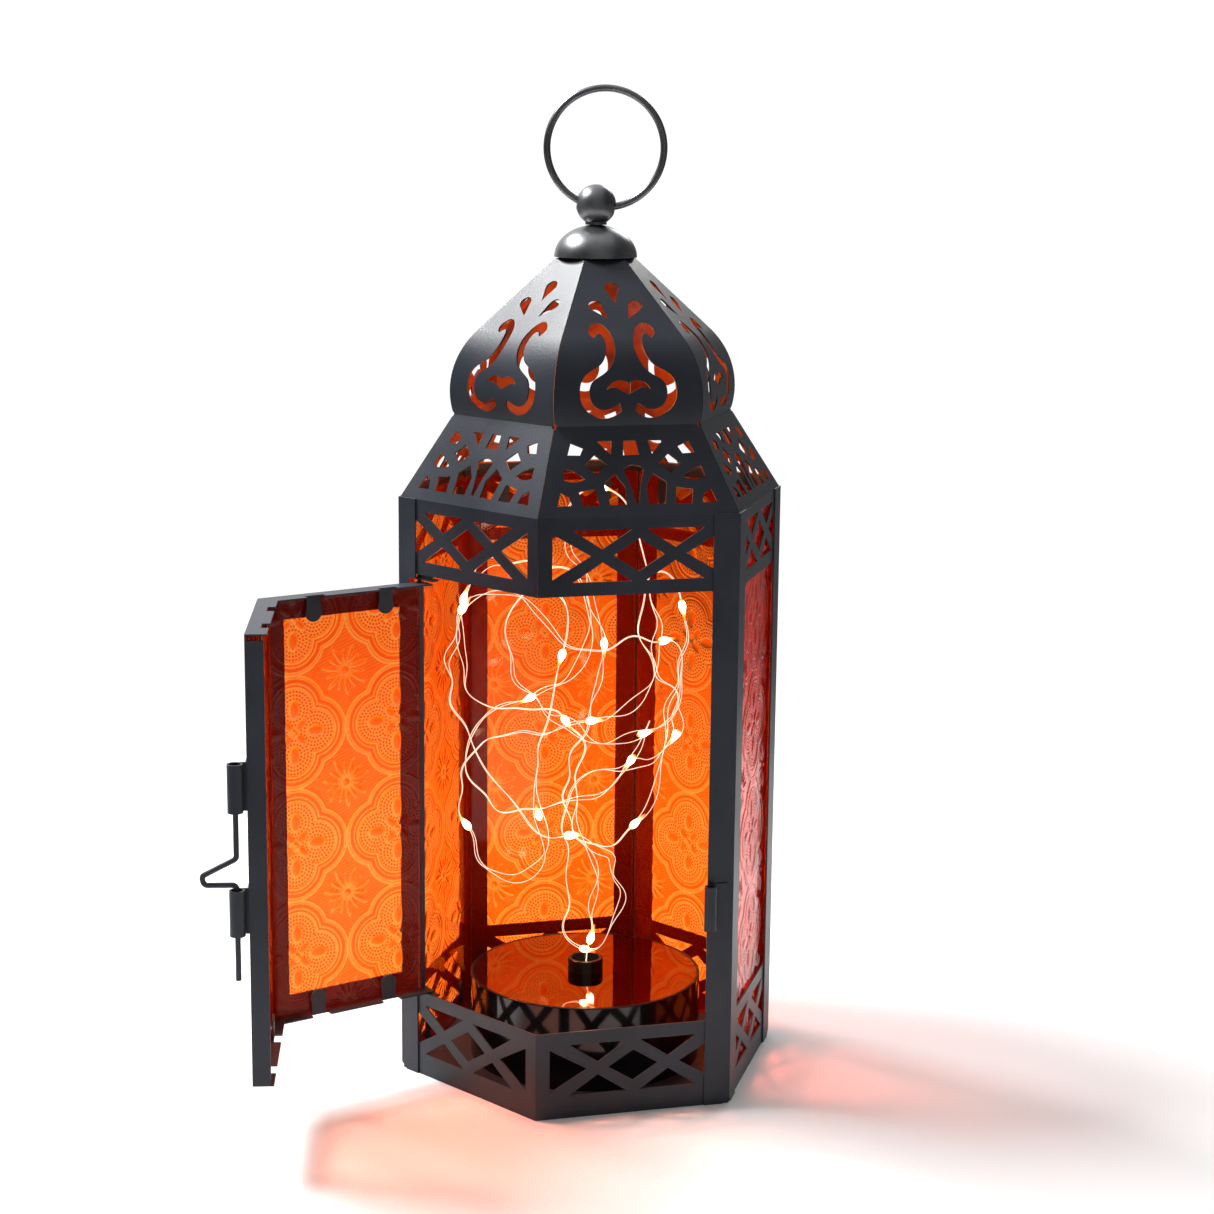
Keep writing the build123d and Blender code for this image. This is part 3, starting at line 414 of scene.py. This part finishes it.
def make_leds():
    """Droplet beads of resin cast round the lead, one near the middle of each chosen run. Every third
    one points the other way."""
    verts, faces, places, glows = [], [], [], []
    route = np.array(LEAD_ROUTE)
    tangents, sides, acrosses = carried_frames(lead_line)
    for number, run in enumerate(LED_RUNS):
        middle = (route[run] + route[run + 1]) / 2
        at = int(np.argmin(np.linalg.norm(lead_line - middle, axis=1)))
        if run == 0:
            at = int(FIRST_LED / LEAD_STEP)
        centre, tangent, side = lead_line[at], tangents[at], sides[at]
        across = acrosses[at] * (LED_FLATNESS + LED_FLATNESS_STEP * (number % 4))
        flipped = number % 3 == 1
        skin = ring_faces(len(verts), len(LED_PROFILE), LED_SIDES)
        faces += [face[::-1] for face in skin] if flipped else skin
        for along, radius, glow in LED_PROFILE:
            ring = centre + tangent * (-along if flipped else along) * MM
            for angle in np.arange(LED_SIDES) * TURN / LED_SIDES:
                spoke = side * math.cos(angle) + across * math.sin(angle)
                verts.append(ring + spoke * radius * MM)
            glows += [glow] * LED_SIDES
        places.append(Vector(centre))
    piece = new_piece("led_drops", verts, faces, "case", led_material(), "led_beads")
    store(piece.data, "bead_glow", "FLOAT", "value", glows)
    return piece, places


light_string = make_lead()
led_drops, led_places = make_leds()
led_drops.visible_shadow = False
[tuple(p) for p in lead_line]

# ---------------------------------------------------------------- patterned glass, in mm
HALF_FACE = 35.0
APOTHEM = HALF_FACE * math.sqrt(3)
FACE_NORMALS = {"front": 270, "front_right": 330, "back_right": 30, "back": 90, "back_left": 150,
                "front_left": 210}
DOOR_OPEN = math.radians(-101.0)
DOOR_HINGE = next(j for j in frame["joints"] if j["name"] == "door_hinge")["pos_m"]
GLASS_THICK = 3.1
GLASS_FRONT = 0.6
GLASS_GAP = 0.4
PANE_HALF = HALF_FACE - (GLASS_FRONT + GLASS_THICK) * math.tan(math.radians(30)) - GLASS_GAP
GRID = 0.4
PLAIN_EDGE = 0.8

# The pattern repeats every PERIOD both ways: a quatrefoil of four round lobes, and a flower between.
PERIOD = 40.0
LOBE_OUT = 8.0
LOBE_R = 7.7
# Ridges outside the lobes' edge: share, distance from that edge, half width. Then the groove between
# them and the band round them as (distance, half width), with the band narrower in tone.
OUTLINES = ((1.0, 0.15, 0.42), (0.75, 1.45, 0.36), (0.70, 3.35, 0.34), (1.0, 4.25, 0.42))
GROOVE = (0.8, 0.5)
BAND = (2.4, 1.0)
BAND_TONE = (2.4, 0.8)
# A motif: its knob's radius, the ring round the knob as (share, radius, half width), the rims of its
# petals as (place, half width) in units of the petal, and rows of petals as
# (number, first lean, distance out, half length, half width, share of the swell, share of the rim).
ROSETTE = (1.2, (1.0, 1.7, 0.4), (1.0, 0.45),
           ((4, 0.0, 1.02 * LOBE_OUT, 3.3, 1.7, 1.0, 1.0), (4, math.pi / 4, 3.5, 2.4, 1.15, 0.85, 0.8)))
FLOWER = (1.0, (0.9, 1.7, 0.45), (1.3, 0.7),
          ((7, 0.13, 5.5, 2.9, 0.62, 1.0, 0.8), (7, 0.13 + math.pi / 7, 4.8, 2.2, 0.45, 1.0, 0.8)))
# Where the pattern counts as clear of petals and rims, how far inside the lobes the beaded field
# starts, where the plain ground outside starts, the ground's hatching and ripples (per mm, drift,
# drift per mm), and the beads: pitch, the outermost ring's distance and how steeply each falls off.
SWELL_CLEAR, RIM_CLEAR = 0.02, 0.3
FIELD_INSET = 0.45
PLAIN_FROM = 4.9
HATCH_PITCH, HATCH_LEAN = 1.25, 0.35
RIPPLES = ((0.61, 1.3, 0.23), (0.47, 0.9, 0.31))
BEAD_PITCH = 1.25
BEAD_EDGE = 7.15
BEAD_FALL = -6.2


def dome(q):
    """A rounded swelling where q, a squared distance in units of its half size, is under 1."""
    return np.sqrt(np.clip(1.0 - q, 0.0, 1.0))


def ellipse(x, y, cx, cy, lean, long, wide):
    """Squared distance from an ellipse's centre, in units of its half axes; lean in radians."""
    dx, dy = x - cx, y - cy
    along = dx * math.cos(lean) + dy * math.sin(lean)
    across = dy * math.cos(lean) - dx * math.sin(lean)
    return (along / long) ** 2 + (across / wide) ** 2


def ridge(distance, at, half):
    """A rounded ridge that follows the line where distance equals at."""
    return np.clip(1.0 - ((distance - at) / half) ** 2, 0.0, 1.0)


def motif(x, y, knob, ring, rim, rows):
    """A knob with petals round it. Gives how far they swell and the fine rims round them, 0 to 1."""
    out = np.hypot(x, y)
    swell, rims = dome((out / knob) ** 2), ring[0] * ridge(out, *ring[1:])
    for number, first, away, long, wide, swell_share, rim_share in rows:
        for lean in first + np.arange(number) * TURN / number:
            petal = ellipse(x, y, away * math.cos(lean), away * math.sin(lean), lean, long, wide)
            swell = np.maximum(swell, swell_share * dome(petal))
            rims = np.maximum(rims, rim_share * ridge(petal, *rim))
    return swell, rims


def relief(x, y):
    """The pressed pattern: quatrefoils with beaded fields, and flowers between them. Gives its height,
    a tone that is lighter along its fine lines, and where the beaded fields are."""
    u = (x + PERIOD / 2) % PERIOD - PERIOD / 2
    v = (y + PERIOD / 2) % PERIOD - PERIOD / 2
    lobe = np.min([np.hypot(u - LOBE_OUT * math.cos(a), v - LOBE_OUT * math.sin(a))
                   for a in np.arange(4) * math.pi / 2], axis=0) - LOBE_R
    lines = sum(share * ridge(lobe, at, half) for share, at, half in OUTLINES)
    petals, rims = motif(u, v, *ROSETTE)
    field = (lobe < -FIELD_INSET) & (petals < SWELL_CLEAR) & (rims < RIM_CLEAR)

    p = x % PERIOD - PERIOD / 2
    q = y % PERIOD - PERIOD / 2
    flower, veins = motif(p, q, *FLOWER)
    plain = (lobe > PLAIN_FROM) & (flower < SWELL_CLEAR) & (veins < RIM_CLEAR)
    hatch = np.where(plain, np.cos(TURN * (HATCH_LEAN * p + q) / HATCH_PITCH), 0.0)
    waves = [np.sin(rate * a + drift * np.sin(slow * b))
             for (rate, drift, slow), a, b in zip(RIPPLES, (x, y), (y, x))]
    ripple = waves[0] * waves[1]

    height = (0.22 * lines + 0.14 * ridge(lobe, *BAND) + 0.34 * petals + 0.10 * rims
              + 0.26 * flower + 0.10 * veins + 0.03 * hatch + 0.03 * ripple)
    tone = (0.74 * lines - 0.18 * ridge(lobe, *GROOVE) - 0.14 * ridge(lobe, *BAND_TONE)
            + 0.40 * rims - 0.04 * petals + 0.44 * veins - 0.04 * flower + 0.09 * hatch)
    return height, tone, np.where(field, 1.0, 0.0)


def bead_dots(graph, x, y):
    """Round beads in rings that follow the nearest lobe of the quatrefoil; 1 at the middle of each."""
    calc = graph.calc
    fold = [calc("ABSOLUTE", calc("WRAP", at, PERIOD / 2, -PERIOD / 2)) for at in (x, y)]
    out = calc("SUBTRACT", calc("MAXIMUM", *fold), LOBE_OUT)
    side = calc("MINIMUM", *fold)
    away = calc("SQRT", calc("MULTIPLY_ADD", out, out, calc("MULTIPLY", side, side)))
    rings = calc("DIVIDE", calc("SUBTRACT", BEAD_EDGE, away), BEAD_PITCH)
    middle = calc("ADD", calc("FLOOR", rings), 0.5)
    ring_r = calc("MULTIPLY_ADD", middle, -BEAD_PITCH, BEAD_EDGE)
    count = calc("ROUND", calc("MULTIPLY", ring_r, TURN / BEAD_PITCH))
    turn = calc("DIVIDE", calc("ARCTAN2", side, out), TURN)
    place = calc("FRACT", calc("MULTIPLY_ADD", turn, count, 0.5))
    across = calc("SUBTRACT", place, 0.5)
    inward = calc("SUBTRACT", rings, middle)
    distance = calc("MULTIPLY_ADD", across, across, calc("MULTIPLY", inward, inward))
    return calc("MAXIMUM", calc("MULTIPLY_ADD", distance, BEAD_FALL, 1.0), 0.0)


# What the glass passes by its tone, and what the beaded fields, their beads, the seeds in the glass and
# its fine unevenness add to that tone; then its bump, gloss, dull body and the tint of lamps behind it.
GLASS_TONES = ((0.12, (0.42, 0.002, 0.0001)), (0.40, (1.0, 0.034, 0.0002)),
               (0.56, (1.0, 0.088, 0.001)), (0.78, (1.0, 0.24, 0.028)), (1.0, (1.0, 0.30, 0.035)))
TONE_SCALE = 0.75
FIELD_TONE, BEAD_TONE = 0.36, -0.85
SEED_SCALE, SEED_DETAIL, SEED_TONE = 45.0, 5.0, 0.16
FINE_SCALE, FINE_DETAIL, FINE_TONE = 900.0, 3.0, 0.14
BEAD_SWELL = 6.0
GLASS_BUMP = (0.30, 0.00004)
GLASS_GLOSS = (0.02, 0.07)
GLASS_IOR = 1.33
GLASS_SHINE = 0.12
GLASS_BODY, BODY_SHARE = (0.62, 0.030, 0.010), 0.10
LAMP_TINT = (0.97, 0.61, 0.56)


def glass_material():
    """Amber glass. What it passes is lighter along the fine lines of the pressed relief and deeper in
    its beads, and a little dull red scatters back from its body. Lamps pass through, tinted."""
    graph = Graph(bpy.data.materials.new("amber_glass"))
    calc = graph.calc
    x, y, field = graph.split(graph.attribute("pattern")["Vector"])
    beads = bead_dots(graph, x, y)
    seeds = graph.noise(SEED_SCALE, SEED_DETAIL)
    fine = graph.noise(FINE_SCALE, FINE_DETAIL)
    beaded = calc("MULTIPLY", field, calc("MULTIPLY_ADD", beads, BEAD_TONE, FIELD_TONE))
    # The pressed tone holds the painted shade and highlight of the relief's slopes.
    tone = calc("ADD", graph.attribute("pressed")["Fac"], beaded)
    tone = calc("MULTIPLY_ADD", seeds, SEED_TONE, tone)
    tone = calc("MULTIPLY_ADD", fine, FINE_TONE, tone)
    swell = calc("MULTIPLY_ADD", calc("MULTIPLY", field, beads), BEAD_SWELL, fine)
    glass = graph.add("ShaderNodeBsdfPrincipled", {
        "Base Color": graph.ramp(calc("MULTIPLY", tone, TONE_SCALE), *GLASS_TONES),
        "Roughness": graph.spread(seeds, *GLASS_GLOSS),
        "Normal": graph.bump(swell, *GLASS_BUMP),
        "Transmission Weight": 1.0,
        "IOR": GLASS_IOR,
        "Specular IOR Level": GLASS_SHINE,
    })
    body = graph.add("ShaderNodeBsdfDiffuse", {"Color": GLASS_BODY})
    clear = graph.add("ShaderNodeBsdfTransparent", {"Color": LAMP_TINT})
    deep = graph.mix(BODY_SHARE, glass.outputs["BSDF"], body.outputs["BSDF"])
    graph.finish(graph.mix(graph.ray("Is Shadow Ray"), deep, clear.outputs["BSDF"]))
    return graph.owner


AMBER = glass_material()
# The tone of plain pressed glass, of the flat side and the painted shade and highlight that slopes add to it.
PLAIN_TONE = 0.44
FLAT_TONE = 1.3
SLOPE_PAINTED_LIGHT, SLOPE_UP, SLOPE_ALONG, SLOPE_MOST = 0.90, 0.8, 0.6, 0.5


def tint(height, tone, gx, gz):
    """How light the glass is at each point: its tone, and a painted shade and highlight, lighter where the
    relief rises towards the top and towards lower x and darker where it falls."""
    rise_z, rise_x = np.gradient(height, gz[1, 0] - gz[0, 0], gx[0, 1] - gx[0, 0])
    # Painted shade and highlight: the relief's slopes lighten or darken the glass as if it were lit from above and
    # from lower x.
    painted_relief_light = np.clip(SLOPE_UP * rise_z - SLOPE_ALONG * rise_x, -SLOPE_MOST, SLOPE_MOST)
    return np.clip(PLAIN_TONE + tone + SLOPE_PAINTED_LIGHT * painted_relief_light, 0.0, 1.0)


def on_face(face, x, z, depth):
    """Points x along a closed face of the hexagon, z up and depth behind it."""
    angle = math.radians(FACE_NORMALS[face])
    normal = np.array((math.cos(angle), math.sin(angle), 0.0))
    along = np.array((-normal[1], normal[0], 0.0))
    up = np.array((0.0, 0.0, 1.0))
    return normal * (APOTHEM - depth)[..., None] + along * x[..., None] + up * z[..., None]


def door_opened(verts):
    """Points, in metres, swung with the door from closed to where it stands."""
    c, s = math.cos(DOOR_OPEN), math.sin(DOOR_OPEN)
    hinge = np.array((DOOR_HINGE[0], DOOR_HINGE[1], 0.0))
    return (verts - hinge) @ np.array(((c, s, 0), (-s, c, 0), (0, 0, 1))) + hinge


def make_pane(name, face, x_span, z_span, shift, replaced, body):
    """A pane of pressed glass: a fine grid with the relief, a flat back and four edges. shift slides
    the pattern along and up. The door's panes have the relief inside, the others outside."""
    on_door = body == "door"
    xs, zs = (np.linspace(low, high, int(round((high - low) / GRID)) + 1)
              for low, high in (x_span, z_span))
    columns, rows = len(xs), len(zs)
    gx, gz = np.meshgrid(xs, zs)
    height, tone, field = relief(gx - shift[0], gz - shift[1])
    border = np.minimum(np.minimum(gx - xs[0], xs[-1] - gx), np.minimum(gz - zs[0], zs[-1] - gz))
    sunk = (height.max() - height) * np.clip(border / PLAIN_EDGE, 0.0, 1.0)
    relief_depth, flat_depth = GLASS_FRONT + sunk, GLASS_FRONT + GLASS_THICK
    if on_door:
        relief_depth, flat_depth = GLASS_FRONT + GLASS_THICK - sunk, GLASS_FRONT

    rim = ([(0, c) for c in range(columns)] + [(r, columns - 1) for r in range(1, rows)]
           + [(rows - 1, c) for c in range(columns - 2, -1, -1)]
           + [(r, 0) for r in range(rows - 2, 0, -1)])
    count = len(rim)
    rim_x = np.array([xs[c] for _, c in rim])
    rim_z = np.array([zs[r] for r, _ in rim])
    front = on_face(face, gx, gz, relief_depth).reshape(-1, 3)
    back = on_face(face, rim_x, rim_z, np.full(count, flat_depth))
    verts = np.concatenate([front, back]) * MM
    if on_door:
        verts = door_opened(verts)

    index = np.arange(columns * rows).reshape(rows, columns)
    quads = np.stack([index[:-1, :-1], index[:-1, 1:], index[1:, 1:], index[1:, :-1]], axis=-1)
    faces = [tuple(int(k) for k in quad) for quad in quads.reshape(-1, 4)]
    smooth = [True] * len(faces) + [False] * (count + 1)
    first = columns * rows
    for k in range(count):
        n = (k + 1) % count
        faces.append((int(index[rim[n]]), int(index[rim[k]]), first + k, first + n))
    faces.append(tuple(first + k for k in reversed(range(count))))
    if on_door:
        faces = [face[::-1] for face in faces]

    mesh = new_piece(name, verts, faces, body, AMBER, replaced).data
    mesh.polygons.foreach_set("use_smooth", smooth)
    # Tones of the relief with the painted shade and highlight of its slopes, and the flat edges' tone.
    pressed = [tint(height, tone, gx, gz).reshape(-1), np.full(count, FLAT_TONE)]
    store(mesh, "pressed", "FLOAT", "value", np.concatenate(pressed))
    pattern = np.stack([gx - shift[0], gz - shift[1], field], axis=-1).reshape(-1, 3)
    store(mesh, "pattern", "FLOAT_VECTOR", "vector", np.concatenate([pattern, np.zeros((count, 3))]))


FULL_X, FULL_Z, DOOR_Z = (-PANE_HALF, PANE_HALF), (1.2, 209.6), (32.4, 180.4)
for face, shift in (("front_right", (3.0, 9.0)), ("back_right", (5.4, 27.6)), ("back", (3.2, 28.2)),
                    ("back_left", (17.0, 2.0))):
    make_pane(f"pane_{face}", face, FULL_X, FULL_Z, shift, f"glass_{face}", "case")
make_pane("pane_door_left", "front_left", (-25.5, PANE_HALF), DOOR_Z, (-16.3, 13.8),
          "door_glass_left", "door")
make_pane("pane_door_right", "front", (-PANE_HALF, 24.5), DOOR_Z, (14.0, 16.0),
          "door_glass_right", "door")

# ---------------------------------------------------------------- finishes of the CAD nodes
FINISH_LOOKS = {
    "black_powder_coated_steel": dict(
        dark=(0.022, 0.026, 0.035), light=(0.040, 0.046, 0.060), roughness=(0.30, 0.42),
        grain=1200.0, depth=0.00010, blotch=22.0, specular=0.26),
    "bent_sheet_steel": dict(
        dark=(0.014, 0.014, 0.017), light=(0.026, 0.027, 0.031), roughness=(0.34, 0.48),
        grain=1500.0, depth=0.00005, blotch=60.0),
    "gunmetal_steel": dict(
        dark=(0.135, 0.138, 0.146), light=(0.235, 0.239, 0.250), roughness=(0.26, 0.40),
        metallic=0.85, grain=700.0, depth=0.00002, blotch=70.0, stretch=(1.0, 1.0, 9.0)),
    "black_plastic": dict(
        dark=(0.006, 0.006, 0.007), light=(0.012, 0.012, 0.014), roughness=(0.07, 0.16),
        grain=500.0, depth=0.00001, blotch=40.0, coat=0.2),
    "mirror_glass": dict(
        dark=(0.46, 0.20, 0.10), light=(0.56, 0.27, 0.15), roughness=(0.015, 0.06),
        metallic=1.0, grain=300.0, depth=0.000004, blotch=30.0),
    "grommet_rubber": dict(
        dark=(0.012, 0.012, 0.012), light=(0.026, 0.026, 0.027), roughness=(0.55, 0.75),
        grain=1800.0, depth=0.00006, blotch=120.0),
    "battery_sleeve": dict(
        dark=(0.03, 0.07, 0.20), light=(0.05, 0.11, 0.28), roughness=(0.18, 0.30),
        grain=900.0, depth=0.00001, blotch=90.0, coat=0.4),
    "spring_steel": dict(
        dark=(0.52, 0.52, 0.54), light=(0.68, 0.68, 0.70), roughness=(0.20, 0.34),
        metallic=1.0, grain=1200.0, depth=0.00002, blotch=150.0),
    "board_laminate": dict(
        dark=(0.010, 0.085, 0.035), light=(0.018, 0.130, 0.055), roughness=(0.30, 0.45),
        grain=2200.0, depth=0.00003, blotch=250.0),
    "component_plastic": dict(
        dark=(0.020, 0.020, 0.022), light=(0.045, 0.045, 0.048), roughness=(0.40, 0.60),
        grain=2000.0, depth=0.00004, blotch=200.0),
}
# Painted light inside the roof: above this height, surfaces facing the axis take the colour of the lantern's warm
# glow.
ROOF_INSIDE_FROM = 0.214
FACING_IN = -0.2
INNER_GLOW_NOISE = (60.0, 4.0)
INNER_GLOW_PAINT = ((0.38, (0.16, 0.024, 0.004)), (0.62, (0.46, 0.080, 0.012)))
MIX_FIRST, MIX_SECOND, MIX_RESULT = 6, 7, 2  # the colour sockets of a mix node, whose names repeat


def paint_inner_glow(graph):
    """Within the roof, surfaces that face the axis have the warm light they enclose painted into their colour."""
    place = graph.nodes.new("ShaderNodeNewGeometry").outputs
    flat = graph.vector("MULTIPLY", place["Position"], (1.0, 1.0, 0.0))["Vector"]
    outward = graph.vector("NORMALIZE", flat)["Vector"]
    facing = graph.vector("DOT_PRODUCT", place["True Normal"], outward)["Value"]
    height = graph.split(place["Position"])["Z"]
    share = graph.calc("MULTIPLY", graph.calc("LESS_THAN", facing, FACING_IN),
                       graph.calc("GREATER_THAN", height, ROOF_INSIDE_FROM))
    base = graph.surface.inputs["Base Color"]
    blend = graph.nodes.new("ShaderNodeMix")
    blend.data_type = "RGBA"
    graph.feed(blend, {"Factor": share, MIX_FIRST: base.links[0].from_socket,
                       MIX_SECOND: graph.ramp(graph.noise(*INNER_GLOW_NOISE), *INNER_GLOW_PAINT)})
    graph.links.new(blend.outputs[MIX_RESULT], base)


FINISHES = {name: grained(name, **look) for name, look in FINISH_LOOKS.items()}
# The powder coat gets the painted glow on the inside of its roof.
paint_inner_glow(FINISHES["black_powder_coated_steel"])
NODE_SLOTS = {entry["node"]: entry["material_slot"] for entry in frame["record"]["subparts"]}
for name, node in NODES.items():
    finish = FINISHES.get(NODE_SLOTS[name])
    if finish:
        node.data.materials.clear()
        node.data.materials.append(finish.owner)

# ---------------------------------------------------------------- floor, light and background
FLOOR_HALF = 6.0
# Each fade is (start, end, value up to the start, value from the end on): the floor's over the
# distance from the lantern, to either side of it and from front to back, and the world's by direction.
FLOOR_FAR = (0.28, 0.75, 0.0, 1.0)
FLOOR_SIDEWAYS = (0.24, 0.42, 1.04, 0.18)
FLOOR_BACKWARDS = (-0.40, 0.05, 0.16, 1.04)
FLOOR_SEEN = 1.04
WORLD_BACKWARDS = (-0.9, 0.35, 0.26, 1.0)
WORLD_SIDEWAYS = (0.35, 0.65, 1.0, 0.14)
WORLD_SEEN = 1.1
# Lamps: name, place, point aimed at, width in metres, watts.
AREA_LIGHTS = (("overhead_left", (-0.62, 0.30, 1.12), (0.0, 0.0, 0.05), 0.40, 18.0),
               ("rim_left", (-0.60, 0.85, 1.35), (0.0, 0.0, 0.25), 0.22, 11.0),
               ("back_right", (0.70, 1.05, 0.85), (0.0, 0.0, 0.12), 0.40, 3.0))
# Small lamps: watts, colour, radius in metres.
ROOF_GLOW_AT = (0.0, 0.0, 0.245)
ROOF_GLOW = (0.048, (1.0, 0.36, 0.05), 0.02)
LED_GLOW = (0.005, (1.0, 0.58, 0.26), 0.0012)


def floor_material():
    """Matt white near the lantern, fading to a white that shines by itself further out. That is even to
    the eye, and as light it is dimmer at the sides and in front."""
    graph = grained("floor", (0.90, 0.90, 0.90), (0.92, 0.92, 0.92), (0.5, 0.6), grain=400.0,
                    depth=0.00001, blotch=3.0, specular=0.2)
    ground = graph.coords.outputs["Object"]
    x, y, _ = graph.split(ground)
    far = graph.fit(graph.vector("LENGTH", ground)["Value"], *FLOOR_FAR, smooth=True)
    sideways = graph.fit(graph.calc("ABSOLUTE", x), *FLOOR_SIDEWAYS)
    light = graph.calc("MINIMUM", sideways, graph.fit(y, *FLOOR_BACKWARDS))
    seen = graph.calc("MULTIPLY", graph.ray("Is Camera Ray"), FLOOR_SEEN)
    white = graph.add("ShaderNodeEmission", {"Color": WHITE,
                                             "Strength": graph.calc("MAXIMUM", seen, light)})
    graph.finish(graph.mix(far, graph.surface.outputs["BSDF"], white.outputs["Emission"]))
    return graph.owner


def make_floor():
    """A wide square under the lantern, which is staging and no part of it."""
    mesh = bpy.data.meshes.new("floor")
    corners = [(x * FLOOR_HALF, y * FLOOR_HALF, 0) for x, y in ((-1, -1), (1, -1), (1, 1), (-1, 1))]
    mesh.from_pydata(corners, [], [(0, 1, 2, 3)])
    mesh.materials.append(floor_material())
    floor = new_object("floor", mesh)


def make_world():
    """White for the eye. As light it is full behind the lantern and dimmer in front and at the
    sides."""
    graph = Graph(bpy.data.worlds.new("studio"), "ShaderNodeOutputWorld")
    x, y, _ = graph.split(graph.coords.outputs["Generated"])
    light = graph.calc("MULTIPLY", graph.fit(y, *WORLD_BACKWARDS, smooth=True),
                       graph.fit(graph.calc("ABSOLUTE", x), *WORLD_SIDEWAYS, smooth=True))
    lit, seen = (graph.add("ShaderNodeBackground", {"Color": WHITE, "Strength": strength})
                 for strength in (light, WORLD_SEEN))
    graph.finish(graph.mix(graph.ray("Is Camera Ray"), lit.outputs["Background"],
                           seen.outputs["Background"]))
    bpy.context.scene.world = graph.owner
    bpy.context.scene.view_settings.view_transform = "Standard"


def area_light(name, at, towards, width, power):
    """A round lamp aimed at a point."""
    data = bpy.data.lights.new(name, "AREA")
    data.shape = "DISK"
    data.size = width
    data.energy = power
    lamp = new_object(name, data)
    lamp.location = at
    lamp.rotation_euler = (Vector(towards) - Vector(at)).to_track_quat("-Z", "Y").to_euler()


def small_light(name, at, power, colour, radius):
    """A lamp that shines all round."""
    data = bpy.data.lights.new(name, "POINT")
    data.energy = power
    data.color = colour
    data.shadow_soft_size = radius
    new_object(name, data).location = at


make_world()
make_floor()
for lamp in AREA_LIGHTS:
    area_light(*lamp)
small_light("roof_glow", ROOF_GLOW_AT, *ROOF_GLOW)
for number, place in enumerate(led_places):
    small_light(f"led_{number:02d}", place, *LED_GLOW)
